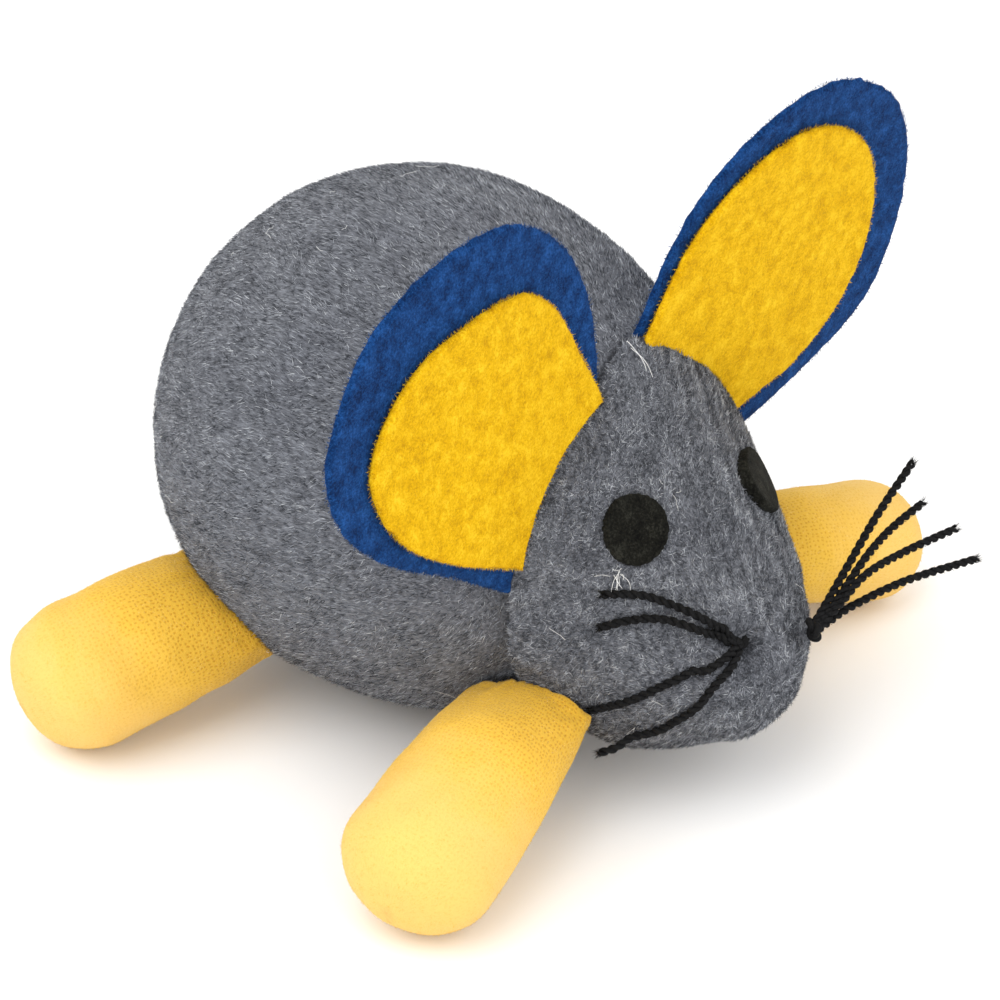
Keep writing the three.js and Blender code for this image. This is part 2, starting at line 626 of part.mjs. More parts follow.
add(mouse, 'body_cover', bodyCover(), plush);
add(mouse, 'belly_panel', bellyPanel(), plush);
add(mouse, 'body_stuffing', bodyStuffing(), wadding);
add(mouse, 'head_cover', headCover(), plush);
add(mouse, 'head_stuffing', headStuffing(), wadding);
for (const [place, leg] of Object.entries(LEGS)) {
  add(mouse, `${place}_leg_cover`, legCover(leg), yellowKnit);
  add(mouse, `${place}_leg_stuffing`, legStuffing(leg), wadding);
}
for (const [side, ear] of Object.entries(EARS)) {
  add(mouse, `${side}_ear_outer`, earOuter(ear), blueFelt);
  add(mouse, `${side}_ear_inner`, earInner(ear), yellowFelt);
}
for (const [side, place] of Object.entries(EYES)) add(mouse, `${side}_eye`, eye(place), blackFelt);
for (const [side, routes] of Object.entries(WHISKERS)) {
  routes.forEach((points, i) => add(mouse, `${side}_whisker_${i + 1}`, whisker(points), blackThread));
}
add(mouse, 'cord_eyelet', cordEyelet(), nickel);

const movement = new THREE.Group();
movement.position.set(...MOVEMENT_AT);
mouse.add(movement);
add(movement, 'movement_case_base', caseBase(), whitePlastic);
add(movement, 'movement_case_lid', caseLid(), whitePlastic);
bossPlaces().forEach(([x, y], i) => add(movement, `case_screw_${i + 1}`, caseScrew(x, y), steel));
add(movement, 'cord_bush', cordBush(), greyPlastic);
add(movement, 'spring_arbor', springArbor(), steel);
add(movement, 'mainspring', mainspring(), steel);
add(movement, 'spring_drum', springDrum(), greyPlastic);
add(movement, 'drum_cap', drumCap(), steel);
add(movement, 'idler_gear', idlerGear(), whitePlastic);
add(movement, 'idler_axle', axle(IDLER_AT, IDLER_AXLE_TOP), steel);
add(movement, 'weight_rotor', weightRotor(), whitePlastic);
add(movement, 'eccentric_weight', eccentricWeight(), brass);
add(movement, 'rotor_axle', axle(ROTOR_AT, CASE.height - 2 * FIT), steel);

export default mouse;
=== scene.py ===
"""A soft plush mouse with a clockwork movement inside it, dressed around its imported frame.

Shapes are worked out in the toy's own millimetres: x forwards, y to its left and z up, from the
point of the floor under the middle of the ball body. `world` turns them into the frame's metres.
"""
import math

import bpy
import numpy as np
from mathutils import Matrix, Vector
from mathutils.bvhtree import BVHTree

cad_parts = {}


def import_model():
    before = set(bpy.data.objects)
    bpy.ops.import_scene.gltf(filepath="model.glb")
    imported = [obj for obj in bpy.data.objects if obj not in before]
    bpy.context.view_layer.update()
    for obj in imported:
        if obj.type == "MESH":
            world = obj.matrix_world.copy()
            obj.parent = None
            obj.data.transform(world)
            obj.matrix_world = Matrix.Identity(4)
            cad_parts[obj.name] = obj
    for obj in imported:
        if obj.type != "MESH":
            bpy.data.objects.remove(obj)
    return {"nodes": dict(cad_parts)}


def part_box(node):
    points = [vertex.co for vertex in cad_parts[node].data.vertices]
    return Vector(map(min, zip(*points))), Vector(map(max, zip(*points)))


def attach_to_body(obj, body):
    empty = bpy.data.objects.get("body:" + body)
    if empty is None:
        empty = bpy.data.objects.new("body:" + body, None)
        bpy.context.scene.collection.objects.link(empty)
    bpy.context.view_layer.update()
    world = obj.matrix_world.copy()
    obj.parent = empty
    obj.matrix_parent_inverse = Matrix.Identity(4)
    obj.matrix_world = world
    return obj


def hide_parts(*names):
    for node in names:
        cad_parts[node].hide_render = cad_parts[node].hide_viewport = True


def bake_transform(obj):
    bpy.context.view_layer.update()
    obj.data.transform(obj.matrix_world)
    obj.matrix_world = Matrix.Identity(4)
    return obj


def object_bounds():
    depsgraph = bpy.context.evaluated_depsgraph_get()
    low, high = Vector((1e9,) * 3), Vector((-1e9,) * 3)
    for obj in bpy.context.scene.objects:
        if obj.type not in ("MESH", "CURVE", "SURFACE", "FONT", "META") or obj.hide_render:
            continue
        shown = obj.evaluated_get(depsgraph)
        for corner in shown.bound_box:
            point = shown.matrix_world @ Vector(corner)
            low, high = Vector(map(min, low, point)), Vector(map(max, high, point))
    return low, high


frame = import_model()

cad_box = [list(corner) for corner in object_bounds()]

# ---------- places and sizes ----------
MM = 0.001
belly_low, belly_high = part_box("belly_panel")
BALL = np.array([(belly_low.x + belly_high.x) / 2, (belly_low.y + belly_high.y) / 2, 0.0])


def world(points):
    """The toy's millimetres as metres of the frame."""
    return BALL + np.asarray(points, float) * MM


def toy(points):
    """Metres of the frame as the toy's millimetres."""
    return (np.asarray(points, float) - BALL) / MM


def box_middle(node):
    """The middle of a CAD node's box, in the toy's millimetres."""
    return toy(np.mean([list(corner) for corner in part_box(node)], axis=0))


body_low, body_high = (toy(corner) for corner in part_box("body_cover"))
BODY_REAR, NECK_X = -body_low[0], body_high[0]
BODY_SIDE = (body_high[1] - body_low[1]) / 2
BODY_MIDDLE, NECK_MIDDLE = 36.7, 34.4  # heights of the ball's middle and of the neck's middle
BODY_UP = body_high[2] - BODY_MIDDLE
BODY_FRONT, FRONT_POWER = 46.4, 2.2
BELLY_R = (belly_high.x - belly_low.x) / 2 / MM

HEAD_X, HEAD_MIDDLE, HEAD_R, HEAD_LENGTH, HEAD_YAW = 35.0, 34.0, 27.6, 29.0, math.radians(27)
NOSE_START, NOSE_TOP, NOSE_HALF_WIDTH, NOSE_Z = 0.9, 31.0, 9.6, 20.0
TOP_POWER, SIDE_POWER, CHIN_DROP, CHIN_RISE = 1.4, 0.75, -2.6, 9.4

# legs: a point inside the root, the middle of the foot, and half sizes: root and foot width and height;
# `flat` is how far the tube is pressed flat where it is sewn on, as a share of its height
LEG_END, END_POWER = 0.9, 2.2  # length of the round end, as a share of the foot's half width, and its shape
FLAT_LENGTH, FLAT_WIDENING, FLAT_UNDERSIDE = 9.0, 0.12, 0.35  # millimetres, and shares of the flatness
LEGS = {
    "front_right": {"root": (37.2, -22, 19.5), "foot": (39.5, -49.8, 10.7), "wide": (8.7, 11.4),
                    "high": (8.8, 10.6), "flat": 0.62},
    "front_left": {"root": (36, 21, 18.4), "foot": (46.6, 47.6, 9.6), "wide": (8.4, 9.6),
                   "high": (7.6, 9.3), "flat": 0.45},
    "rear_right": {"root": (-12.9, -21.9, 16.6), "foot": (-23.6, -46.8, 10.9), "wide": (11, 11.5),
                   "high": (10.5, 10.9), "flat": 0.25},
    "rear_left": {"root": (-12.9, 21.9, 16.6), "foot": (-23.6, 46.8, 10.9), "wide": (11, 11.5),
                  "high": (10.5, 10.9), "flat": 0.25},
}

# ears: the sewn edge runs between two angles of the neck ring; the outlines have (along, away) points
EAR_RING_R, EAR_SEAM_R, FELT = 28.3, 25.6, 1.2
EARS = {
    "right": {
        "side": -1, "top": 17, "bottom": 79, "lean": -4, "curl": 0.2,
        "outer": [(-20, 1.5), (-26, 8.5), (-29.7, 19), (-28.4, 31), (-21, 41), (-8.5, 48.2), (2, 48.4),
                  (11, 45), (16.3, 36.5), (17.4, 25), (15.6, 11)],
        "inner": [(-18.6, 7), (-22, 17.5), (-19.8, 27), (-8.4, 37.4), (2, 39.9), (9.8, 36.9), (14.2, 27),
                  (14, 15)],
        "inner_ends": (-14.3, 11),
    },
    "left": {
        "side": 1, "top": 8, "bottom": 86, "lean": 12, "curl": 0.2,
        "outer": [(-21.5, 5), (-25.4, 15), (-26.8, 25), (-24.2, 35.5), (-16.5, 45), (-5, 49.7), (5, 49.7),
                  (16, 44.6), (24.3, 35.5), (28, 26), (26, 15), (21.7, 4.5)],
        "inner": [(-21.3, 8), (-23.8, 18), (-22.4, 29), (-16, 38), (-5, 42.3), (5, 41.2), (14, 35.2),
                  (19.6, 25), (19.2, 14), (15.8, 6.5)],
        "inner_ends": (-17.2, 12.5),
    },
}

EYE_R = 4.9
EYES_OUT = {"right": (0.77, -0.36, 0.52), "left": (0.70, 0.52, 0.49)}

# the right threads run from NEAR_ROOT through these points, and the left ones from their own knot
WHISKERS = {
    "right": [
        [(58.2, -9.6, 32.9), (53.6, -12, 35.3), (49.6, -14.6, 36.8), (45.6, -18.4, 37.2)],
        [(57.8, -11, 32.2), (53.4, -13.6, 33.8), (49.6, -17, 33.8), (46.4, -20.4, 33)],
        [(59.8, -12.2, 28.4), (55.8, -16.4, 25.8), (51.3, -19.2, 22.4), (45.8, -21.8, 18.6)],
        [(61.4, -11, 27), (59.6, -14.8, 22.6), (54.2, -17.6, 16.4), (50.6, -19.6, 15), (47.8, -22.2, 14)],
    ],
    "left": [
        [(64.6, 4.8, 26.8), (64.2, 9.5, 28.6), (64, 15, 31.6), (63.9, 22, 35.7), (64, 31, 39.9)],
        [(64.8, 5, 26.5), (65, 10.5, 28.4), (65.3, 17, 31.8), (65.1, 24, 32.7), (66.1, 31, 33.8)],
        [(65, 5, 26.1), (65.7, 10, 28.1), (66.4, 15.5, 30.3), (67.9, 23.5, 30.3), (70.9, 32.5, 30.5)],
        [(64.7, 4.9, 25.7), (65.2, 9, 25.9), (66, 13, 26.2), (69.2, 22, 26.7), (74.3, 33, 26.4)],
    ],
}


# ---------- the camera ----------
CAMERA_AZIMUTH, CAMERA_ELEVATION, CAMERA_DISTANCE = 36.42, 34.26, 0.5203  # degrees and metres
CAMERA_LENS = 130.1
MIDDLE = (Vector(cad_box[0]) + Vector(cad_box[1])) / 2
AIM = Vector((-0.0045, 0.0028, -0.0189))  # from the middle of the object's box


def towards(azimuth, elevation):
    """The direction of a viewer at that azimuth and elevation."""
    turn, rise = math.radians(azimuth), math.radians(elevation)
    return Vector((math.sin(turn) * math.cos(rise), -math.cos(turn) * math.cos(rise), math.sin(rise)))


def add_camera():
    """The camera that sees the toy from its front right."""
    back = towards(CAMERA_AZIMUTH, CAMERA_ELEVATION)
    data = bpy.data.cameras.new("camera")
    data.lens = CAMERA_LENS
    data.clip_start, data.clip_end = 0.01, 20
    camera = bpy.data.objects.new("camera", data)
    bpy.context.collection.objects.link(camera)
    camera.location = MIDDLE + AIM + back * CAMERA_DISTANCE
    camera.rotation_euler = back.to_track_quat("Z", "Y").to_euler()
    bpy.context.scene.camera = camera


add_camera()


# ---------- mesh helpers ----------
def unit(v):
    v = np.asarray(v, float)
    return v / np.linalg.norm(v, axis=-1, keepdims=True)


def smoothstep(t):
    t = np.clip(t, 0, 1)
    return t * t * (3 - 2 * t)


def lumps(points, size, seed):
    """Soft random waves of about that size in millimetres, between -1 and 1."""
    rng = np.random.default_rng(seed)
    waves = 7
    directions = unit(rng.normal(size=(waves, 3)))
    phases = rng.uniform(0, 2 * math.pi, waves)
    pitch = 2 * math.pi / (size * rng.uniform(0.7, 1.5, waves))
    return np.sin(points @ (directions * pitch[:, None]).T + phases).mean(axis=1) * 1.6


def new_piece(name, points, faces):
    """A mesh object from toy points."""
    mesh = bpy.data.meshes.new(name)
    mesh.from_pydata(world(points).tolist(), [], [list(map(int, face)) for face in faces])
    mesh.validate()
    mesh.polygons.foreach_set("use_smooth", [True] * len(mesh.polygons))
    piece = bpy.data.objects.new(name, mesh)
    bpy.context.collection.objects.link(piece)
    return piece


def ring_faces(rings, count):
    """Quads between rings of `count` points, and a fan to one more point at each end."""
    index = np.arange(rings * count).reshape(rings, count)
    a, b = index[:-1], index[1:]
    quads = np.stack([a, np.roll(a, -1, 1), np.roll(b, -1, 1), b], axis=-1).reshape(-1, 4).tolist()
    first, last = rings * count, rings * count + 1
    quads += [[first, int(j), int(i)] for i, j in zip(index[0], np.roll(index[0], -1))]
    quads += [[last, int(i), int(j)] for i, j in zip(index[-1], np.roll(index[-1], -1))]
    return quads


def ring_points(rings):
    """The points of the rings, then the middles of the first and the last ring."""
    return np.concatenate([rings.reshape(-1, 3), rings[0].mean(axis=0)[None], rings[-1].mean(axis=0)[None]])


def loft(name, rings):
    """A closed piece through rings of toy points."""
    rings = np.asarray(rings, float)
    return new_piece(name, ring_points(rings), ring_faces(len(rings), rings.shape[1]))


def read_vectors(items, field):
    """One vector of each of a mesh's items, such as its vertices."""
    flat = np.zeros(len(items) * 3)
    items.foreach_get(field, flat)
    return flat.reshape(-1, 3)


def read_points(piece):
    return toy(read_vectors(piece.data.vertices, "co"))


def read_normals(piece):
    return read_vectors(piece.data.vertices, "normal")


def write_points(piece, points):
    piece.data.vertices.foreach_set("co", world(points).ravel())
    piece.data.update()


def bake_modifiers(piece):
    """Makes the mesh what its modifiers give, and removes them."""
    made = bpy.data.meshes.new_from_object(piece.evaluated_get(bpy.context.evaluated_depsgraph_get()))
    piece.modifiers.clear()
    piece.data = made
    piece.data.polygons.foreach_set("use_smooth", [True] * len(made.polygons))


def even_mesh(piece, voxel):
    """Remeshes a closed form into even faces of about `voxel` millimetres."""
    remesh = piece.modifiers.new("even", "REMESH")
    remesh.mode, remesh.voxel_size, remesh.use_smooth_shade = "VOXEL", voxel * MM, True
    bake_modifiers(piece)


def subdivide(piece):
    piece.modifiers.new("smooth", "SUBSURF").levels = 1
    bake_modifiers(piece)


SIM_SCALE = 10  # cloth settles well at about half a metre, so the pieces are simulated that much larger
SIM_FRAMES = 20


def puff(piece, held, cap, pressure, spare):
    """Blows a closed form up as stuffed cloth that is held where `held` is 1, moved at most `cap`
    millimetres. `spare` is how much larger than the form the cloth is cut, so that it gathers."""
    scene = bpy.context.scene
    start = read_points(piece)
    group = piece.vertex_groups.new(name="held")
    for weight in np.unique(np.round(held, 1)):
        members = np.flatnonzero(np.round(held, 1) == weight)
        group.add(members.tolist(), float(weight), "REPLACE")
    piece.data.vertices.foreach_set("co", (start * MM * SIM_SCALE).ravel())
    piece.data.update()
    modifier = piece.modifiers.new("stuffing", "CLOTH")
    cloth = modifier.settings
    cloth.quality, cloth.mass, cloth.air_damping = 5, 0.1, 4
    cloth.tension_stiffness = cloth.compression_stiffness = 25
    cloth.bending_stiffness = 0.6
    cloth.use_pressure, cloth.uniform_pressure_force = True, pressure
    cloth.shrink_min = cloth.shrink_max = -spare
    cloth.vertex_group_mass = "held"
    cloth.effector_weights.gravity = 0
    modifier.point_cache.frame_start, modifier.point_cache.frame_end = 1, SIM_FRAMES
    for step in range(1, SIM_FRAMES + 1):
        scene.frame_set(step)
    settled = piece.evaluated_get(bpy.context.evaluated_depsgraph_get()).data
    moved = read_vectors(settled.vertices, "co") / (MM * SIM_SCALE) - start
    distance = np.linalg.norm(moved, axis=1, keepdims=True)
    piece.modifiers.clear()
    piece.vertex_groups.clear()
    scene.frame_set(1)
    write_points(piece, start + moved * np.minimum(1, cap / np.maximum(distance, 1e-6)))


def open_shell(piece, gone, thickness):
    """Takes away the faces whose middles `gone` picks, and gives the rest a thickness inwards."""
    mesh = piece.data
    dropped = gone(toy(read_vectors(mesh.polygons, "center")))
    points = np.array([v.co for v in mesh.vertices])
    faces = [list(face.vertices) for face, drop in zip(mesh.polygons, dropped) if not drop]
    used = np.unique(np.concatenate([np.array(face) for face in faces]))
    place = {int(old): new for new, old in enumerate(used)}
    kept = bpy.data.meshes.new(piece.name)
    kept.from_pydata(points[used].tolist(), [], [[place[int(i)] for i in face] for face in faces])
    piece.data = kept
    solid = piece.modifiers.new("thickness", "SOLIDIFY")
    solid.thickness, solid.offset, solid.use_rim = thickness * MM, -1, True
    bake_modifiers(piece)


def set_attribute(piece, name, values):
    attribute = piece.data.attributes.new(name, "FLOAT", "POINT")
    attribute.data.foreach_set("value", np.asarray(values, np.float32))


def surface_of(piece):
    mesh = piece.data
    return BVHTree.FromPolygons([v.co for v in mesh.vertices], [list(f.vertices) for f in mesh.polygons])


def on_surface(point, surface, height):
    """The place over a surface that is nearest to a toy point."""
    spot, normal, _, _ = surface.find_nearest(Vector(world(point)))
    return toy(np.array(spot)) + np.array(normal) * height


def frames_along(points):
    """A tangent and two normals at each point of a line, turned as little as can be."""
    tangents = unit(np.gradient(points, axis=0))
    normal = np.cross(tangents[0], (0, 0, 1))
    if np.linalg.norm(normal) < 0.1:
        normal = np.cross(tangents[0], (1, 0, 0))
    normals = []
    for tangent in tangents:
        normal = normal - tangent * (normal @ tangent)
        normal = normal / np.linalg.norm(normal)
        normals.append(normal)
    normals = np.array(normals)
    return tangents, normals, np.cross(tangents, normals)


def tube_rings(points, radius, sides):
    """Rings round a line of points, with the radius given for all or for each."""
    _, across, up = frames_along(points)
    turns = np.linspace(0, 2 * math.pi, sides, endpoint=False)
    radius = np.broadcast_to(radius, (len(points),))[:, None, None]
    circle = across[:, None] * np.cos(turns)[None, :, None] + up[:, None] * np.sin(turns)[None, :, None]
    return points[:, None] + circle * radius


def joined_tubes(name, lines, sides):
    """One piece of closed tubes, each of (points, radius)."""
    points, faces, offset = [], [], 0
    for line, radius in lines:
        rings = tube_rings(np.asarray(line, float), radius, sides)
        made = ring_points(rings)
        faces += [[i + offset for i in face] for face in ring_faces(len(rings), sides)]
        points.append(made)
        offset += len(made)
    return new_piece(name, np.concatenate(points), faces)


def smooth_line(points, step):
    """A Catmull-Rom line through the points, with a point about every `step` millimetres."""
    points = np.asarray(points, float)
    ends = np.concatenate([[2 * points[0] - points[1]], points, [2 * points[-1] - points[-2]]])
    dense = []
    for a, b, c, d in zip(ends[:-3], ends[1:-2], ends[2:-1], ends[3:]):
        t = np.linspace(0, 1, 60, endpoint=False)[:, None]
        dense.append(0.5 * (2 * b + (c - a) * t + (2 * a - 5 * b + 4 * c - d) * t**2
                            + (3 * b - a - 3 * c + d) * t**3))
    dense = np.concatenate(dense + [points[-1:]])
    lengths = np.concatenate([[0], np.cumsum(np.linalg.norm(np.diff(dense, axis=0), axis=1))])
    wanted = np.linspace(0, lengths[-1], max(3, round(lengths[-1] / step) + 1))
    return np.stack([np.interp(wanted, lengths, dense[:, k]) for k in range(3)], axis=1)


# ---------- fibres ----------
PILE_COUNT, NAP_COUNT, FELT_FUZZ_COUNT, EYE_FUZZ_COUNT = 42000, 16000, 9000, 2600  # fibres in one piece


def scatter(piece, count, rng, wanted=None):
    """Random places on a piece's faces, even by area: points and face normals in toy terms."""
    mesh = piece.data
    mesh.calc_loop_triangles()
    corners = np.zeros(len(mesh.loop_triangles) * 3, int)
    mesh.loop_triangles.foreach_get("vertices", corners)
    triangles = read_points(piece)[corners.reshape(-1, 3)]
    cross = np.cross(triangles[:, 1] - triangles[:, 0], triangles[:, 2] - triangles[:, 0])
    area = np.linalg.norm(cross, axis=1)
    if wanted is not None:
        area = area * wanted(triangles.mean(axis=1), unit(cross + 1e-12))
    chosen = rng.choice(len(area), count, p=area / area.sum())
    u, v = rng.random((2, count, 1))
    over = u + v > 1
    u, v = np.where(over, 1 - u, u), np.where(over, 1 - v, v)
    corner = triangles[chosen]
    places = corner[:, 0] + (corner[:, 1] - corner[:, 0]) * u + (corner[:, 2] - corner[:, 0]) * v
    return places, unit(cross[chosen] + 1e-12)


def spikes(name, roots, directions, widths, materials, shares, rng, tone=None):
    """Closed three-sided fibres from roots along directions, in a few shades: by `tone`, from the first
    shade for the lowest, or at random."""
    count = len(roots)
    lengths = np.linalg.norm(directions, axis=1, keepdims=True)
    along = directions / lengths
    side = unit(np.cross(along, rng.normal(size=(count, 3))))
    other = np.cross(along, side)
    turns = np.array([0, 2 * math.pi / 3, 4 * math.pi / 3])
    base = (roots[:, None] + side[:, None] * np.cos(turns)[None, :, None] * widths[:, None, None] / 2
            + other[:, None] * np.sin(turns)[None, :, None] * widths[:, None, None] / 2)
    points = np.concatenate([base, (roots + directions)[:, None]], axis=1).reshape(-1, 3)
    pattern = np.array([[0, 2, 1], [0, 1, 3], [1, 2, 3], [2, 0, 3]])
    faces = (np.arange(count)[:, None, None] * 4 + pattern).reshape(-1, 3)
    mesh = bpy.data.meshes.new(name)
    mesh.vertices.add(len(points))
    mesh.vertices.foreach_set("co", world(points).ravel())
    mesh.loops.add(faces.size)
    mesh.loops.foreach_set("vertex_index", faces.ravel())
    mesh.polygons.add(len(faces))
    mesh.polygons.foreach_set("loop_start", np.arange(0, faces.size, 3))
    if tone is None:
        tone = rng.random(count)
    shade = np.searchsorted(np.quantile(tone, np.cumsum(shares)[:-1]), tone)
    for material in materials:
        mesh.materials.append(material)
    mesh.polygons.foreach_set("material_index", np.repeat(shade, 4))
    mesh.polygons.foreach_set("use_smooth", [True] * len(faces))
    mesh.update(calc_edges=True)
    mesh.validate()
    piece = bpy.data.objects.new(name, mesh)
    bpy.context.collection.objects.link(piece)
    return piece


def pile(name, base, count, flow, length, width, lift, materials, shares, seed, wanted=None, painted_shade_hollows=(),
         disorder=0.4, clumps=0.7, part=1):
    """A pile of short fibres on a piece, combed along `flow` with a little disorder. Its shades gather in
    clumps, and it has painted shade in the hollows, each a place and a radius, where its fibres are darker."""
    rng = np.random.default_rng((seed, part))
    places, normals = scatter(base, count, rng, wanted)
    swirl = np.stack([lumps(places, 9, seed + k) for k in range(1, 4)], axis=1)
    combed = np.asarray(flow, float) + 0.45 * swirl + rng.normal(scale=disorder, size=(count, 3))
    flat = unit(combed - normals * (combed * normals).sum(axis=1, keepdims=True))
    rise = lift + 0.35 * lift * lumps(places, 5, seed + 7) + rng.normal(scale=0.25 * lift, size=count)
    rise = np.clip(rise, 0.04, 1.2)[:, None]
    lengths = length * rng.uniform(0.6, 1.35, (count, 1))
    directions = unit(flat * np.cos(rise) + normals * np.sin(rise)) * lengths
    tone = rng.normal(scale=0.7, size=count) + 0.5 * lumps(places, 4, seed + 10)
    tone = tone + clumps * (lumps(places, 1.6, seed + 9) + 0.6 * lumps(places, 0.9, seed + 11))
    # painted shade: the fibres round each hollow take darker shades
    for place, radius in painted_shade_hollows:
        tone = tone - 3 * np.exp(-((np.linalg.norm(places - place, axis=1) / radius) ** 2))
    return spikes(name, places - normals * 0.12, directions, width * rng.uniform(0.7, 1.3, count),
                  materials, shares, rng, tone)


# ---------- materials ----------
class Nodes:
    """A material being put together: `add` makes a node, `wire` joins sockets."""

    def __init__(self, name, roughness, **uniform):
        self.material = bpy.data.materials.new(name)
        self.material.use_nodes = True
        self.tree = self.material.node_tree
        self.shader = self.tree.nodes["Principled BSDF"]
        self.shader.inputs["Roughness"].default_value = roughness
        for socket, value in uniform.items():
            self.shader.inputs[socket.replace("_", " ")].default_value = value
        self.place = self.add("ShaderNodeTexCoord").outputs["Object"]

    def add(self, kind, **settings):
        node = self.tree.nodes.new(kind)
        for setting, value in settings.items():
            setattr(node, setting, value)
        return node

    def wire(self, source, target):
        self.tree.links.new(source, target)

    def stretched(self, scale):
        """Object coordinates stretched by a share for each axis."""
        mapping = self.add("ShaderNodeMapping")
        mapping.inputs["Scale"].default_value = scale
        self.wire(self.place, mapping.inputs["Vector"])
        return mapping.outputs["Vector"]

    def noise(self, size, detail=3, rough=0.6, where=None):
        """Noise whose features are about `size` millimetres."""
        node = self.add("ShaderNodeTexNoise")
        node.inputs["Scale"].default_value = 1 / (size * MM)
        node.inputs["Detail"].default_value = detail
        node.inputs["Roughness"].default_value = rough
        self.wire(where or self.place, node.inputs["Vector"])
        return node.outputs["Fac"]

    def maths(self, operation, a, b=0.0):
        node = self.add("ShaderNodeMath", operation=operation)
        for socket, value in zip(node.inputs, (a, b)):
            if isinstance(value, (int, float)):
                socket.default_value = value
            else:
                self.wire(value, socket)
        return node.outputs[0]

    def ramp(self, value, stops):
        node = self.add("ShaderNodeValToRGB")
        elements = node.color_ramp.elements
        while len(elements) < len(stops):
            elements.new(0.5)
        for element, (position, colour) in zip(elements, stops):
            element.position, element.color = position, (*colour, 1)
        self.wire(value, node.inputs["Fac"])
        return node.outputs["Color"]

    def tinted(self, colour, amount, other):
        """A colour multiplied by another, by an amount."""
        node = self.add("ShaderNodeMix", data_type="RGBA", blend_type="MULTIPLY")
        for socket, value in ((node.inputs[0], amount), (node.inputs[6], colour), (node.inputs[7], other)):
            if isinstance(value, (int, float)):
                socket.default_value = value
            elif isinstance(value, tuple):
                socket.default_value = (*value, 1)
            else:
                self.wire(value, socket)
        return node.outputs[2]

    def colour(self, source):
        self.wire(source, self.shader.inputs["Base Color"])

    def bump(self, height, depth):
        """Bump of a depth in millimetres."""
        node = self.add("ShaderNodeBump")
        node.inputs["Distance"].default_value = depth * MM
        self.wire(height, node.inputs["Height"])
        self.wire(node.outputs["Normal"], self.shader.inputs["Normal"])

    def rough(self, value, low, high):
        node = self.add("ShaderNodeMapRange")
        node.inputs["To Min"].default_value, node.inputs["To Max"].default_value = low, high
        self.wire(value, node.inputs["Value"])
        self.wire(node.outputs["Result"], self.shader.inputs["Roughness"])


def plush_material():
    """Grey plush: the ground of the pile, streaked along the nap, with soft cloudy patches."""
    made = Nodes("plush", 0.95, Sheen_Weight=0.1, Sheen_Roughness=0.5)
    along_nap = made.stretched((0.22, 1, 1))
    streaks = made.noise(0.34, 4, 0.7, along_nap)
    colour = made.ramp(streaks, [(0.30, (0.035, 0.037, 0.043)), (0.5, (0.125, 0.131, 0.148)),
                                 (0.70, (0.27, 0.285, 0.315))])
    clouds = made.ramp(made.noise(9, 3), [(0.3, (0.8, 0.8, 0.83)), (0.7, (1, 1, 1))])
    made.colour(made.tinted(colour, 1.0, clouds))
    made.bump(streaks, 0.25)
    return made.material


STITCH = 0.72  # millimetres between the pinholes of the knit


def knit_material():
    """Yellow brushed knit: rows of pinholes between stitches that fade towards the fuzzier foot. Its yellow
    has painted shade at the root and a painted highlight towards the foot.
    """
    made = Nodes("yellow_knit", 0.9, Sheen_Weight=0.2, Sheen_Roughness=0.4, Sheen_Tint=(1, 0.86, 0.5, 1))
    along, around, past = (made.add("ShaderNodeAttribute", attribute_name=name).outputs["Fac"]
                           for name in ("along", "around", "past_seam"))
    wobble = made.maths("MULTIPLY", made.noise(2.5, 2), 1.1 * MM)
    cloth = made.add("ShaderNodeCombineXYZ")
    made.wire(made.maths("ADD", along, wobble), cloth.inputs["X"])
    made.wire(made.maths("ADD", around, wobble), cloth.inputs["Y"])
    holes = made.add("ShaderNodeTexVoronoi", voronoi_dimensions="2D")
    holes.inputs["Scale"].default_value = 1 / (STITCH * MM)
    holes.inputs["Randomness"].default_value = 0.5
    made.wire(cloth.outputs["Vector"], holes.inputs["Vector"])
    rim = holes.outputs["Distance"]
    uneven = made.maths("MULTIPLY", made.noise(6, 3), 0.4)
    towards_foot = made.maths("ADD", made.maths("DIVIDE", past, 34 * MM), uneven)
    # the yellow is darker and deeper at the root, a painted shade, and paler towards the foot, a painted
    # highlight
    warm = made.ramp(towards_foot, [(0.2, (0.66, 0.37, 0.02)), (0.6, (0.82, 0.49, 0.05)),
                                    (1.0, (0.86, 0.545, 0.135))])
    clear = made.ramp(towards_foot, [(0.45, (0.95, 0.95, 0.95)), (0.95, (0.2, 0.2, 0.2))])
    pinhole = made.ramp(rim, [(0.08, (0.80, 0.64, 0.26)), (0.32, (1, 1, 1))])
    made.colour(made.tinted(warm, clear, pinhole))
    relief = made.maths("MULTIPLY", made.maths("MINIMUM", rim, 0.4), clear)
    made.bump(made.maths("ADD", made.maths("MULTIPLY", made.noise(0.28, 3, 0.7), 0.5), relief), 0.25)
    return made.material


def felt_material(name, dark, middle, light, sheen_tint):
    """Pressed felt: tangled fibres at two sizes over uneven dye."""
    made = Nodes(name, 0.95, Specular_IOR_Level=0.1, Sheen_Weight=0.04,
                 Sheen_Roughness=0.45, Sheen_Tint=(*sheen_tint, 1))
    fine = made.noise(0.35, 5, 0.75)
    coarse = made.noise(2.2, 4, 0.6)
    mixed = made.maths("ADD", made.maths("MULTIPLY", fine, 0.6), made.maths("MULTIPLY", coarse, 0.4))
    made.colour(made.ramp(mixed, [(0.38, dark), (0.5, middle), (0.62, light)]))
    made.bump(mixed, 0.35)
    return made.material


def thread_material():
    made = Nodes("black_thread", 0.9, Specular_IOR_Level=0.15)
    grain = made.noise(0.22, 4, 0.7, made.stretched((1, 0.5, 0.5)))
    made.colour(made.ramp(grain, [(0.35, (0.003, 0.003, 0.003)), (0.7, (0.014, 0.014, 0.015))]))
    made.bump(grain, 0.08)
    return made.material


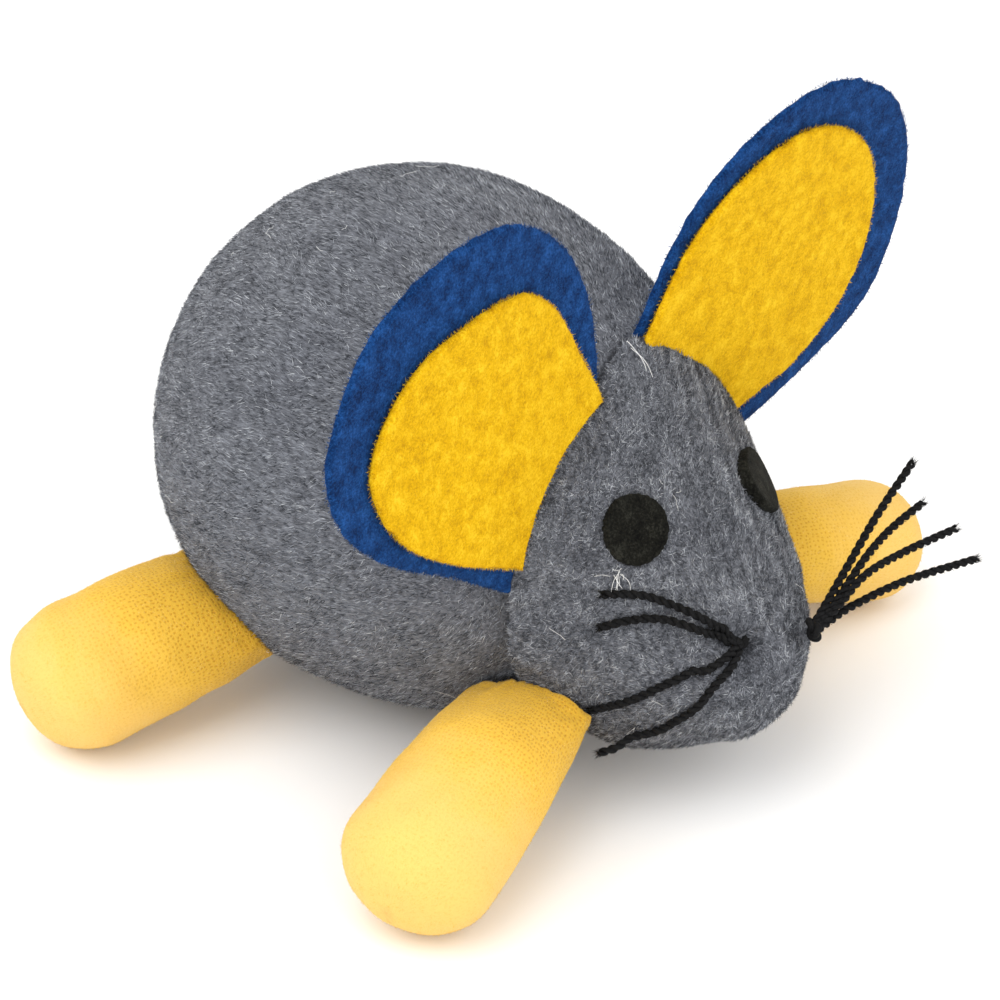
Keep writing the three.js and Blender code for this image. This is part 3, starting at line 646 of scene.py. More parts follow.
def fill_material():
    made = Nodes("polyester_fill", 0.95, Subsurface_Weight=0.15, Sheen_Weight=0.3)
    tangle = made.noise(0.9, 6, 0.75)
    made.colour(made.ramp(tangle, [(0.3, (0.62, 0.62, 0.6)), (0.65, (0.9, 0.9, 0.88))]))
    made.bump(tangle, 0.6)
    return made.material


def metal_material(name, colour, roughness, brushed):
    """Metal with fine drawing lines, small dents of tone and finger-dulled patches."""
    made = Nodes(name, roughness, Metallic=1.0)
    lines = made.noise(0.12, 3, 0.6, made.stretched((1, 1, 0.06) if brushed else (1, 1, 1)))
    patches = made.noise(5, 3)
    dull = tuple(0.72 * c for c in colour)
    made.colour(made.ramp(patches, [(0.3, dull), (0.65, colour)]))
    made.rough(made.maths("ADD", made.maths("MULTIPLY", lines, 0.5), made.maths("MULTIPLY", patches, 0.5)),
               roughness * 0.7, roughness * 1.5)
    made.bump(lines, 0.012)
    return made.material


def plastic_material(name, colour, roughness):
    """Moulded plastic: a fine even grain, faint flow marks and a slightly uneven tone."""
    made = Nodes(name, roughness, IOR=1.49)
    flow = made.noise(7, 3, 0.5, made.stretched((0.4, 1, 1)))
    grain = made.noise(0.16, 2, 0.5)
    shade = tuple(0.86 * c for c in colour)
    made.colour(made.ramp(flow, [(0.3, shade), (0.7, colour)]))
    made.rough(flow, roughness * 0.85, roughness * 1.2)
    made.bump(grain, 0.02)
    return made.material


def fibre_material(name, colour):
    """One shade of loose fibre: fibres differ by their own shades and not within one."""
    return Nodes(name, 0.95, Base_Color=(*colour, 1), Specular_IOR_Level=0.1).material


def fibre_shades(name, **shades):
    return [fibre_material(f"{name}_{shade}", colour) for shade, colour in shades.items()]


PLUSH = plush_material()
KNIT = knit_material()
BLUE_FELT = felt_material("blue_felt", (0.001, 0.011, 0.05), (0.005, 0.038, 0.145), (0.016, 0.085, 0.29),
                          (0.35, 0.5, 1))
YELLOW_FELT = felt_material("yellow_felt", (0.54, 0.28, 0.001), (0.76, 0.43, 0.002), (0.92, 0.60, 0.02),
                            (1, 0.85, 0.4))
BLACK_FELT = felt_material("black_felt", (0.001, 0.001, 0.001), (0.008, 0.008, 0.006), (0.03, 0.03, 0.024),
                           (0.5, 0.5, 0.45))
THREAD = thread_material()
FILL = fill_material()
NICKEL = metal_material("nickel", (0.72, 0.71, 0.69), 0.22, False)
STEEL = metal_material("steel", (0.56, 0.57, 0.58), 0.34, True)
BRASS = metal_material("brass", (0.72, 0.50, 0.20), 0.3, True)
WHITE_PLASTIC = plastic_material("white_plastic", (0.80, 0.79, 0.75), 0.42)
GREY_PLASTIC = plastic_material("grey_plastic", (0.30, 0.32, 0.35), 0.45)

GREY_FIBRES = fibre_shades("grey_fibre", dark=(0.062, 0.066, 0.076), middle=(0.185, 0.195, 0.22),
                           light=(0.36, 0.375, 0.41), bright=(0.58, 0.60, 0.63))
GREY_SHARES = [0.29, 0.42, 0.24, 0.05]
HEAD_SHARES = [0.38, 0.31, 0.24, 0.07]
YELLOW_FIBRES = fibre_shades("yellow_fibre", warm=(0.82, 0.48, 0.04), pale=(0.95, 0.74, 0.30))
FELT_YELLOW_FIBRES = fibre_shades("gold_fibre", warm=(0.68, 0.36, 0.002), pale=(0.93, 0.63, 0.03))
BLUE_FIBRES = fibre_shades("blue_fibre", deep=(0.003, 0.025, 0.10), bright=(0.02, 0.10, 0.31))
BLACK_FIBRES = [fibre_material("black_fibre", (0.004, 0.004, 0.004)),
                fibre_material("black_fibre_worn", (0.04, 0.04, 0.034))]
WHITE_FIBRE = fibre_material("white_fibre", (0.85, 0.85, 0.83))


def attach(piece, slot, body):
    """Gives a finished piece the body that it rides on, if it rides on one; its slot is not used."""
    if body:
        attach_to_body(piece, body)


def dress(piece, material, slot, body):
    """Gives a finished piece its one material and its body."""
    piece.data.materials.clear()
    piece.data.materials.append(material)
    attach(piece, slot, body)


# ---------- the body ----------
SEAM_ALLOWANCE_R = 22.0  # the cloth folded into the neck seam is open inside this radius
BODY_LIFT = 0.3  # the ball's form stands this far off the floor before it is blown up
FLOOR_GAP = 0.02  # cloth that rests on the floor stays this far above it
BODY_MESH, HEAD_MESH, LEG_MESH, FILL_MESH = 1.5, 1.05, 0.95, 1.5  # face sizes before subdivision
DRAWN_IN = 0.8  # how far the neck seam pulls the cloth in
CROWN_RISE, CROWN_AHEAD, CROWN_BEHIND, CROWN_LEFT, CROWN_RIGHT = 4.4, 6, 3.5, 13.5, 6.5
PRESSURE, CLOTH_CAP = 4, 0.8  # of the stuffing, and how far it may move the cloth of body and head


def crown_lift(points):
    """Raises the neck between the ears, where the seam is stuffed proud of its ring."""
    x, y, z = points[:, 0] - HEAD_X, points[:, 1] - 1, points[:, 2]
    deep, wide = np.where(x > 0, CROWN_AHEAD, CROWN_BEHIND), np.where(y > 0, CROWN_LEFT, CROWN_RIGHT)
    lifted = points.copy()
    lifted[:, 2] += CROWN_RISE * np.exp(-((x / deep) ** 2) - (y / wide) ** 2) * smoothstep((z - 44) / 16)
    return lifted


def neck_opening(points):
    return np.hypot(points[:, 1], points[:, 2] - NECK_MIDDLE) < SEAM_ALLOWANCE_R


def body_share(x, inset=0.0):
    rear = 1 - np.minimum(x, 0) ** 2 / (BODY_REAR - inset) ** 2
    front = 1 - (np.maximum(x, 0) / (BODY_FRONT - inset)) ** FRONT_POWER
    return np.sqrt(np.clip(np.where(x < 0, rear, front), 0, 1))


def body_middle(x):
    return BODY_MIDDLE + (NECK_MIDDLE - BODY_MIDDLE) * (np.maximum(x, 0) / NECK_X) ** 2


def within_body(points, grow=0.0):
    """Below 1 inside the ball grown by `grow`, and 1 on its surface."""
    x, y, z = points[..., 0], points[..., 1], points[..., 2]
    share = np.maximum(body_share(x, -grow), 1e-3)
    far = np.hypot(y / ((BODY_SIDE + grow) * share), (z - body_middle(x)) / ((BODY_UP + grow) * share))
    return np.where((x > -BODY_REAR - grow) & (x < NECK_X), far, 2.0)


def make_body():
    """The ball: a smooth form that is blown up as stuffed cloth, with the neck drawn in by its seam."""
    inset, sides, steps = 1.4, 120, 84
    turns = np.linspace(0, 2 * math.pi, sides, endpoint=False)
    rear = -(BODY_REAR - inset) * np.cos(np.linspace(0.02, 1, steps) * math.pi / 2)
    xs = np.concatenate([rear, np.linspace(0, NECK_X, 36)[1:]])
    rings = []
    for x in xs:
        drawn_in = DRAWN_IN * smoothstep((x - NECK_X + 1.6) / 1.6) ** 2
        wide = (BODY_SIDE - inset) * body_share(x, inset) - drawn_in
        high = (BODY_UP - inset) * body_share(x, inset) - drawn_in
        z = np.maximum(body_middle(x) + high * np.cos(turns), BODY_LIFT)
        rings.append(np.stack([np.full(sides, x), -wide * np.sin(turns), z], axis=1))
    piece = loft("body_plush", rings)
    even_mesh(piece, BODY_MESH)
    points = read_points(piece)
    held = np.maximum(smoothstep((points[:, 0] - NECK_X + 2) / 1.5), smoothstep((1.2 - points[:, 2]) / 0.8))
    puff(piece, held, cap=CLOTH_CAP, pressure=PRESSURE, spare=0.015)
    subdivide(piece)
    points = read_points(piece)
    points = points + read_normals(piece) * (0.22 * lumps(points, 16, 11))[:, None]
    dimple = np.linalg.norm(points - box_middle("cord_eyelet"), axis=1)
    points[:, 0] += 0.9 * np.exp(-((dimple / 4.5) ** 2))
    by_panel = (np.hypot(points[:, 0], points[:, 1]) < BELLY_R + 6) & (points[:, 2] < 1.0)
    points[by_panel, 2] = np.maximum(points[by_panel, 2], 0.15)
    points[:, 2] = np.maximum(points[:, 2], FLOOR_GAP)
    write_points(piece, crown_lift(points))
    return piece


# ---------- the head ----------
def head_axis(s):
    x = HEAD_X + HEAD_LENGTH * np.sin(HEAD_YAW * s) / HEAD_YAW
    y = -HEAD_LENGTH * (1 - np.cos(HEAD_YAW * s)) / HEAD_YAW
    return x, y


def head_section(s):
    """Top, bottom and half width of the head at a share of its length."""
    share = np.clip(s / NOSE_START, 0, 0.999)
    top = NOSE_TOP + (HEAD_MIDDLE + HEAD_R - NOSE_TOP) * (1 - share) ** TOP_POWER
    bottom = HEAD_MIDDLE - HEAD_R + CHIN_DROP * share + CHIN_RISE * share**2
    half = NOSE_HALF_WIDTH + (HEAD_R - NOSE_HALF_WIDTH) * (1 - share) ** SIDE_POWER
    return top, bottom, half


def nose_rounding(s):
    return np.sqrt(np.clip(1 - (np.maximum(s - NOSE_START, 0) / (1 - NOSE_START)) ** 2, 0, 1))


def within_head(points, grow=0.0):
    """Below 1 inside the head grown by `grow`, and 1 on its surface."""
    low, high = np.full(points.shape[:-1], -0.3), np.full(points.shape[:-1], 1.2)
    for _ in range(22):
        s = (low + high) / 2
        x, y = head_axis(s)
        dx, dy = points[..., 0] - x, points[..., 1] - y
        ahead = dx * np.cos(HEAD_YAW * s) - dy * np.sin(HEAD_YAW * s) > 0
        low, high = np.where(ahead, s, low), np.where(ahead, high, s)
    x, y = head_axis(s)
    dx, dy = points[..., 0] - x, points[..., 1] - y
    sideways = dx * -np.sin(HEAD_YAW * s) + dy * -np.cos(HEAD_YAW * s)
    top, bottom, half = head_section(s)
    rounding = np.maximum(nose_rounding(s), 1e-3)
    middle = NOSE_Z + ((top + bottom) / 2 - NOSE_Z) * rounding
    far = np.hypot(sideways / ((half + grow) * rounding),
                   (points[..., 2] - middle) / (((top - bottom) / 2 + grow) * rounding))
    return np.where((s > -0.04) & (s < 1 + grow / HEAD_LENGTH), far, 2.0)


NEAR_ROOT = np.array((62.0, -6.2, 28.8))  # where the right whiskers go into the cheek
FAR_ROOT = np.array((64.6, 4.9, 26.2))
MUZZLE = np.array((62.5, -6.5, 20.5))
CHIN = np.array((47, -12.6, 8.5))


def make_head():
    """A wedge from the neck ring to a blunt nose, pinched where the whisker threads go through it."""
    inset, sides = 0.45, 110
    turns = np.linspace(0, 2 * math.pi, sides, endpoint=False)
    shares = np.concatenate([np.linspace(0, NOSE_START, 64)[:-1],
                             NOSE_START + (1 - NOSE_START - inset / HEAD_LENGTH)
                             * np.sin(np.linspace(0, 0.985, 16) * math.pi / 2)])
    rings = []
    for s in shares:
        x, y = head_axis(s)
        top, bottom, half = head_section(s)
        rounding = nose_rounding(s)
        middle = NOSE_Z + ((top + bottom) / 2 - NOSE_Z) * rounding
        drawn_in = inset + DRAWN_IN * smoothstep(1 - s / 0.05) ** 2
        wide, high = (half - drawn_in) * rounding, ((top - bottom) / 2 - drawn_in) * rounding
        side = wide * np.sin(turns)
        bend = HEAD_YAW * s
        rings.append(np.stack([x - math.sin(bend) * side, y - math.cos(bend) * side,
                               middle + high * np.cos(turns)], axis=1))
    piece = loft("head_plush", rings)
    even_mesh(piece, HEAD_MESH)
    points = read_points(piece)
    near, far = (np.linalg.norm(points - root, axis=1) for root in (NEAR_ROOT, FAR_ROOT))
    thread = np.minimum(near, far)
    held = np.maximum(smoothstep((HEAD_X + 1.6 - points[:, 0]) / 1.4), smoothstep((3 - thread) / 2))
    puff(piece, held, cap=CLOTH_CAP, pressure=PRESSURE, spare=0.02)
    subdivide(piece)
    shape_face(piece)
    return piece


def shape_face(piece):
    """Pulls the cheeks in at the whisker threads, sets the eyes in a little and rounds the muzzle."""
    points, normals = read_points(piece), read_normals(piece)

    def near(place, size):
        return np.exp(-((np.linalg.norm(points - place, axis=1) / size) ** 2))

    push = -1.9 * near(NEAR_ROOT, 2.6) - 1.3 * near(FAR_ROOT, 2.4)
    bridge = FAR_ROOT - NEAR_ROOT
    between = np.clip((points - NEAR_ROOT) @ bridge / np.sum(bridge**2), -0.3, 1)
    crease_z = NEAR_ROOT[2] + bridge[2] * between
    forward = smoothstep((points[:, 0] - 55) / 6)
    push = push - 0.8 * forward * np.exp(-(((points[:, 2] - crease_z) / 1.6) ** 2))
    push = push + 0.7 * near(MUZZLE, 7)
    push = push + 1.6 * near(CHIN, 9)
    for side in EYES_OUT:
        push = push - 0.5 * near(box_middle(side + "_eye"), 5.5)
    push = push + 0.2 * lumps(points, 9, 21)
    write_points(piece, crown_lift(points + normals * push[:, None]))


# ---------- the legs ----------
class Leg:
    """A leg's axis, and where its cloth comes out of the body and head round it."""

    def __init__(self, spec):
        self.spec, self.flat_at = spec, None
        self.root, self.foot = np.array(spec["root"], float), np.array(spec["foot"], float)
        self.along = unit(self.foot - self.root)
        self.across = unit(np.cross(self.along, (0, 0, 1)))
        self.up = np.cross(self.across, self.along)
        self.length = float(np.linalg.norm(self.foot - self.root))
        self.turns = np.linspace(0, 2 * math.pi, 72, endpoint=False)
        self.flat_at = float(self.find_seam().mean())
        self.seam = self.find_seam()

    def pressed(self, t):
        """How far the tube is pressed flat at a distance along it."""
        if self.flat_at is None:
            return np.zeros_like(t)
        return self.spec["flat"] * np.exp(-((np.maximum(t - self.flat_at, 0) / FLAT_LENGTH) ** 2))

    def ring_point(self, t, turn, inset):
        """The point of the tube at a distance along it and a turn round it, `inset` inside its skin."""
        share = np.clip(t / self.length, 0, 1)
        (root_wide, foot_wide), (root_high, foot_high) = self.spec["wide"], self.spec["high"]
        wide = root_wide + (foot_wide - root_wide) * np.sin(share * math.pi / 2) - inset
        high = root_high + (foot_high - root_high) * share - inset
        past = np.clip((t - self.length) / (LEG_END * foot_wide - inset), 0, 1)
        rounding = np.maximum(1 - past**END_POWER, 0) ** (1 / END_POWER)
        pressed = self.pressed(t)
        wide = wide * (1 + FLAT_WIDENING * pressed)
        high = high * (1 - pressed * np.where(np.cos(turn) > 0, 1, FLAT_UNDERSIDE))
        sideways = (wide * rounding * np.sin(turn))[..., None]
        upwards = (high * rounding * np.cos(turn))[..., None]
        return self.root + self.along * t[..., None] + self.across * sideways + self.up * upwards

    def find_seam(self):
        """How far along the leg its cloth leaves the body or head, for each turn round it."""
        distances = np.arange(0, self.length, 0.2)
        t, turn = np.meshgrid(distances, self.turns, indexing="ij")
        points = self.ring_point(t, turn, 0.4)
        inside = (within_body(points, -0.9) < 1) | (within_head(points, -0.9) < 1)
        last = np.where(inside, t, 0).max(axis=0)
        around = np.concatenate([last[-4:], last, last[:4]])
        return np.convolve(around, np.ones(9) / 9, mode="valid")

    def from_seam(self, points):
        """For toy points: how far past the seam, how far along the leg and the turn round it."""
        offset = points - self.root
        t = offset @ self.along
        sideways = offset @ self.across / self.spec["wide"][0]
        upwards = offset @ self.up / self.spec["high"][0]
        turn = np.arctan2(sideways, upwards) % (2 * math.pi)
        seam = np.interp(turn, np.append(self.turns, 2 * math.pi), np.append(self.seam, self.seam[0]))
        return t - seam, t, turn

    def place(self, distance):
        return self.root + self.along * distance


def leg_form(leg, name, inset, start):
    """A leg's tube from `start` past its seam to the round end, flat where it rests."""
    end = leg.length + LEG_END * leg.spec["wide"][1] - inset
    tube, tip = np.linspace(0, 0.8, 42), 0.8 + 0.2 * np.sin(np.linspace(0, 1, 14)[1:] * math.pi / 2)
    rings = []
    for k in np.concatenate([tube, tip]):
        t = leg.seam + start + (end - 0.05 - leg.seam - start) * k
        ring = leg.ring_point(t, leg.turns, inset)
        ring[:, 2] = np.maximum(ring[:, 2], inset)
        rings.append(ring)
    return loft(name, rings)


def make_leg(place):
    """A stuffed leg: blown up from a smaller form, and gathered into the seam at its root."""
    leg = Leg(LEGS[place])
    piece = leg_form(leg, place + "_leg_knit", 0.5, 0.0)
    even_mesh(piece, LEG_MESH)
    past, _, _ = leg.from_seam(read_points(piece))
    puff(piece, smoothstep((2.2 - past) / 1.5), cap=0.9, pressure=PRESSURE, spare=0.03)
    subdivide(piece)
    points, normals = read_points(piece), read_normals(piece)
    past, _, turn = leg.from_seam(points)
    gathers = 0.16 * np.exp(-np.maximum(past, 0) / 3.0) * np.cos(15 * turn + 2 * np.sin(2 * turn))
    points = points + normals * (gathers + 0.22 * lumps(points, 8, len(place)))[:, None]
    points[:, 2] = np.maximum(points[:, 2], FLOOR_GAP)
    write_points(piece, points)
    nap = pile(place + "_leg_nap", piece, NAP_COUNT, leg.along * 0.3, 0.42, 0.06, 0.7,
               YELLOW_FIBRES, [0.6, 0.4], 500 + 10 * len(place),
               lambda middles, _: (leg.from_seam(middles)[0] > 0.2) * 1.0)
    open_shell(piece, lambda middles: leg.from_seam(middles)[0] < 0.12, LEG_CLOTH)
    past, along, turn = leg.from_seam(read_points(piece))
    around = ((turn + math.pi) % (2 * math.pi) - math.pi) * leg.spec["wide"][1]
    set_attribute(piece, "along", along * MM)
    set_attribute(piece, "around", around * MM)
    set_attribute(piece, "past_seam", np.maximum(past, 0) * MM)
    return leg, piece, nap


# ---------- the ears ----------
class Ear:
    """An ear's plane: `along` its sewn edge, `away` from the head and `face` forwards."""

    def __init__(self, spec):
        self.spec = spec
        side = spec["side"]
        upper, lower = self.on_ring(spec["top"]), self.on_ring(spec["bottom"])
        self.along, self.middle = unit(lower - upper), (upper + lower) / 2
        radial = unit(np.cross(self.along, (1, 0, 0)) * -side)
        lean = math.radians(spec["lean"])
        self.away = radial * math.cos(lean) + np.array([math.sin(lean), 0, 0])
        self.face = unit(np.cross(self.along, self.away) * side)
        self.half = float(np.linalg.norm(lower - upper)) / 2
        self.chord = math.sqrt(EAR_RING_R**2 - self.half**2)

    def on_ring(self, degrees):
        turn = math.radians(degrees)
        return np.array([HEAD_X - 0.2, self.spec["side"] * EAR_RING_R * math.sin(turn),
                         HEAD_MIDDLE + EAR_RING_R * math.cos(turn)])

    def sewn_edge(self, low, high):
        """The edge in the neck seam, from one end to the other: it follows the round of the neck."""
        u = np.linspace(low, high, 40)
        return np.stack([u, np.sqrt(EAR_SEAM_R**2 - u**2) - self.chord], axis=1)

    def outline(self, points, low, high):
        """A closed outline: a smooth line through the points, and the sewn edge."""
        edge = self.sewn_edge(low, high)
        route = np.concatenate([[edge[0]], points, [edge[-1]]])
        line = smooth_line(np.column_stack([route, np.zeros(len(route))]), 0.6)[:, :2]
        return np.concatenate([line, edge[::-1][1:-1]])

    def warp(self, flat):
        """How far the felt stands off its plane: it curls back a little towards its rim."""
        u, v = flat[:, 0], flat[:, 1]
        curl = self.spec["curl"]
        back = -curl * (np.maximum(v, 0) / 50) ** 2
        wave = 0.45 * np.sin(v / 9 + 0.6) * np.sin(u / 11 + 1.1) * smoothstep(v / 12)
        return back + wave + 0.03 * u / 20 * curl


def make_felt(name, ear, outline, base, seed):
    """A felt plate `FELT` thick in the ear's plane, from `base` in front of it, with a soft cut edge."""
    rng = np.random.default_rng(seed)
    jagged = np.tile(rng.normal(scale=0.16, size=len(outline)), 3)
    ragged = np.convolve(jagged, np.ones(3) / 3, mode="same")[len(outline):2 * len(outline)][:, None]
    centre = outline.mean(axis=0)
    outline = outline + unit(outline - centre) * ragged
    shares = np.concatenate([np.linspace(0.04, 0.95, 26), [0.972, 0.986, 0.994, 1.0]])
    edge_drop = np.concatenate([np.zeros(26), [0.03, 0.12, 0.26, 0.45]]) * FELT
    layers = []
    for face, order in ((1, range(len(shares))), (-1, reversed(range(len(shares))))):
        for i in order:
            flat = centre + (outline - centre) * shares[i]
            grain = 0.05 * lumps(np.column_stack([flat, np.zeros(len(flat))]), 1.7, seed)
            height = FELT / 2 * face - edge_drop[i] * face
            height = height + ear.warp(flat) + grain
            layers.append(ear.middle + flat[:, :1] * ear.along + flat[:, 1:] * ear.away
                          + (height + base + FELT / 2)[:, None] * ear.face)
    rings = np.array(layers)
    if ear.spec["side"] > 0:
        rings = rings[:, ::-1]
    return loft(name, rings)


def rim_fuzz(name, ear, outline, base, length, width, materials, seed):
    """Fine fibres that stand out of a felt's faces and, more thickly, of its cut edge."""
    rng = np.random.default_rng(seed)
    count = FELT_FUZZ_COUNT
    centre = outline.mean(axis=0)
    outward = unit(outline - centre)
    at_rim = rng.random(count) < 0.55
    picked = rng.integers(0, len(outline), count)
    share = np.where(at_rim, rng.uniform(0.98, 1.0, count), np.sqrt(rng.random(count)) * 0.98)
    flat = centre + (outline[picked] - centre) * share[:, None]
    front = rng.random(count) < 0.6
    depth = np.where(at_rim, rng.uniform(-0.45, 0.45, count) * FELT, np.where(front, 0.46, -0.46) * FELT)
    spread = rng.normal(size=(count, 2))
    plane = np.where(at_rim[:, None], outward[picked] + 0.5 * spread, 0.9 * unit(spread))
    rise = np.where(at_rim, rng.normal(scale=0.25, size=count), np.where(front, 0.45, -0.45))
    roots = (ear.middle + flat[:, :1] * ear.along + flat[:, 1:] * ear.away
             + (depth + ear.warp(flat) + base + FELT / 2)[:, None] * ear.face)
    directions = plane[:, :1] * ear.along + plane[:, 1:] * ear.away + rise[:, None] * ear.face
    lengths = length * rng.uniform(0.4, 1.5, (count, 1))
    return spikes(name, roots, unit(directions) * lengths, width * rng.uniform(0.7, 1.3, count),
                  materials, [1 / len(materials)] * len(materials), rng)


def make_ear(side):
    ear = Ear(EARS[side])
    body = side + "_ear"
    for layer, base, material, slot, fibres in (
            ("outer", -FELT / 2, BLUE_FELT, "blue_felt", BLUE_FIBRES),
            ("inner", FELT / 2 + 0.15, YELLOW_FELT, "yellow_felt", FELT_YELLOW_FIBRES)):
        ends = (-ear.half, ear.half) if layer == "outer" else ear.spec["inner_ends"]
        outline = ear.outline(ear.spec[layer], *ends)
        seed = len(side) * 10 + len(layer)
        piece = make_felt(f"{side}_ear_{layer}_felt", ear, outline, base, seed + (layer == "inner"))
        dress(piece, material, slot, body)
        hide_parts(f"{side}_ear_{layer}")
        fuzz = rim_fuzz(f"{side}_ear_{layer}_fuzz", ear, outline, base, 0.42, 0.075, fibres, seed + 50)
        attach(fuzz, slot, body)


# ---------- the eyes ----------
STIFF = 0.6  # 0 where a disc follows the cheek, 1 where it stays flat


def make_eye(side, head):
    """A disc of black felt glued to the cheek: it bends a little with the curve of the head."""
    centre = np.mean([list(c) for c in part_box(side + "_eye")], axis=0)
    out = unit(np.array(EYES_OUT[side]))
    across = unit(np.cross((0, 0, 1), out))
    up = np.cross(out, across)
    rng = np.random.default_rng(31 + len(side))
    turns = np.linspace(0, 2 * math.pi, 96, endpoint=False)
    ragged = 1 + 0.012 * np.sin(3 * turns + 1) + rng.normal(scale=0.012, size=96)
    shares = np.concatenate([np.linspace(0.05, 0.93, 14), [0.965, 0.985, 1.0]])
    drop = np.concatenate([np.zeros(14), [0.08, 0.25, 0.5]])
    front, back = [], []
    middle = toy(np.array(head.ray_cast(Vector(centre + out * 6 * MM), Vector(-out))[0]))
    for share, low in zip(shares, drop):
        top, bottom = [], []
        for turn, edge in zip(turns, ragged):
            r = EYE_R * MM * share * edge
            start = centre + (across * math.cos(turn) + up * math.sin(turn)) * r + out * 6 * MM
            hit, _, _, _ = head.ray_cast(Vector(start), Vector(-out))
            ground = toy(np.array(hit) if hit else start - out * 7 * MM)
            level = toy(start) + out * ((middle - toy(start)) @ out)
            ground = ground + (level - ground) * STIFF
            top.append(ground + out * (1.2 - low))
            bottom.append(ground + out * (-0.7 + 0.3 * low))
        front.append(top)
        back.append(bottom)
    piece = loft(side + "_eye_felt", np.array(front + back[::-1]))
    dress(piece, BLACK_FELT, "black_felt", "mouse_body")
    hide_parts(side + "_eye")
    places, normals = scatter(piece, EYE_FUZZ_COUNT, rng, lambda middles, facing: facing @ out > 0.2)
    loose = unit(rng.normal(size=places.shape) + normals * 0.6) * rng.uniform(0.25, 0.7, (len(places), 1))
    widths = np.full(len(places), 0.06)
    fuzz = spikes(side + "_eye_fuzz", places, loose, widths, BLACK_FIBRES, [0.7, 0.3], rng)
    attach(fuzz, "black_felt", "mouse_body")


# ---------- whiskers ----------
PLY_R, PLY_OFFSET, TWIST, FLARE = 0.34, 0.3, 2.6, 1.2  # millimetres; one turn of the plies in TWIST
THREAD_STEP = 0.25
WHISKER_FIBRES, TIP_FIBRES = 520, 90


def settle(line, head, height):
    """Lifts a thread's line onto the head where it would go into it."""
    settled = []
    for point in line:
        spot, normal, _, _ = head.find_nearest(Vector(world(point)))
        ground, normal = toy(np.array(spot)), np.array(normal)
        above = (point - ground) @ normal
        settled.append(point + normal * max(0.0, height - above))
    settled = np.array(settled)
    settled[1:-1] = (settled[:-2] + settled[1:-1] + settled[2:]) / 3
    return settled


def laid(line, head, height):
    """Lays a whole thread's line on the head, at a height for each of its points."""
    route = np.array([on_surface(point, head, high) for point, high in zip(line, height)])
    for _ in range(3):
        route[1:-1] = (route[:-2] + route[1:-1] + route[2:]) / 3
    return route


def make_whisker(side, number, route, head):
    """A thread of two plies twisted together, with its cut end fluffed open."""
    if side == "right":
        line = smooth_line([on_surface(NEAR_ROOT, head, 0)] + route, THREAD_STEP)
        from_root = np.arange(len(line)) * THREAD_STEP
        on_cheek = laid(line, head, 0.5 - 1.1 * np.exp(-((from_root / 1.8) ** 2)))
        free = smoothstep((np.linalg.norm(line - on_cheek, axis=1) - 1.5) / 1.5)[:, None]
        line = on_cheek * (1 - free) + line * free
    else:
        line = settle(smooth_line(route, THREAD_STEP), head, 0.6)
    tangents, across, up = frames_along(line)
    run = np.concatenate([[0], np.cumsum(np.linalg.norm(np.diff(line, axis=0), axis=1))])
    to_end = run[-1] - run
    spread = PLY_OFFSET + 0.1 * smoothstep(1 - to_end / FLARE) ** 2
    lines = []
    for phase in (0, math.pi):
        turn = 2 * math.pi * run / TWIST + phase
        ply = line + across * (spread * np.cos(turn))[:, None] + up * (spread * np.sin(turn))[:, None]
        lines.append((ply, PLY_R * (1 - 0.35 * smoothstep(1 - to_end / 1.0))))
    name = f"{side}_whisker_{number}"
    piece = joined_tubes(name + "_thread", lines, 9)
    dress(piece, THREAD, "black_thread", "mouse_body")
    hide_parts(name)
    rng = np.random.default_rng(number + 40 * len(side))
    count = WHISKER_FIBRES
    picked = rng.integers(2, len(line) - 2, count)
    picked[:TIP_FIBRES] = rng.integers(len(line) - 5, len(line), TIP_FIBRES)
    turn = rng.uniform(0, 2 * math.pi, count)[:, None]
    outward = across[picked] * np.cos(turn) + up[picked] * np.sin(turn)
    at_tip = (np.arange(count) < TIP_FIBRES)[:, None]
    aim = np.where(at_tip, tangents[picked] + 0.45 * outward, outward + 0.9 * tangents[picked])
    lengths = np.where(at_tip, rng.uniform(0.5, 1.3, (count, 1)), rng.uniform(0.2, 0.6, (count, 1)))
    roots = line[picked] + outward * np.where(at_tip, 0.3, 0.45)
    widths = np.full(count, 0.07)
    fuzz = spikes(name + "_fuzz", roots, unit(aim) * lengths, widths, BLACK_FIBRES, [0.8, 0.2], rng)
    attach(fuzz, "black_thread", "mouse_body")


def make_knot(side, facing):
    """The threads' knot at the whiskers' root: a trefoil pulled tight."""
    centre = np.mean([route[0] for route in WHISKERS[side]], axis=0)
    out = unit(facing)
    across = unit(np.cross(out, (0, 0, 1)))
    up = np.cross(across, out)
    t = np.linspace(0, 2 * math.pi, 90)
    size = 0.5
    sideways, upwards = size * (np.sin(t) + 2 * np.sin(2 * t)), size * (np.cos(t) - 2 * np.cos(2 * t))
    outwards = -0.35 * np.sin(3 * t)
    knot = centre + across * sideways[:, None] + up * upwards[:, None] + out * outwards[:, None]
    piece = joined_tubes(side + "_whisker_knot", [(knot, 0.48)], 10)
    dress(piece, THREAD, "black_thread", "mouse_body")


# ---------- belly panel, loose ends and filling ----------
def make_belly_panel():
    """A round patch of plush let into the belly, a little domed towards its edge."""
    turns = np.linspace(0, 2 * math.pi, 120, endpoint=False)
    rings = []
    profile = [(0.05, 1.2), (0.4, 1.2), (0.8, 1.2), (0.95, 1.1), (0.99, 0.85), (1.0, 0.55), (0.99, 0.25),
               (0.95, 0.06), (0.8, 0.02), (0.4, 0.02), (0.05, 0.02)]
    for share, z in profile:
        r = (BELLY_R - 0.05) * share
        rings.append(np.stack([r * np.cos(turns), r * np.sin(turns), np.full(120, z)], axis=1))
    piece = loft("belly_patch", np.array(rings)[::-1])
    dress(piece, PLUSH, "plush", "mouse_body")
    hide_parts("belly_panel")


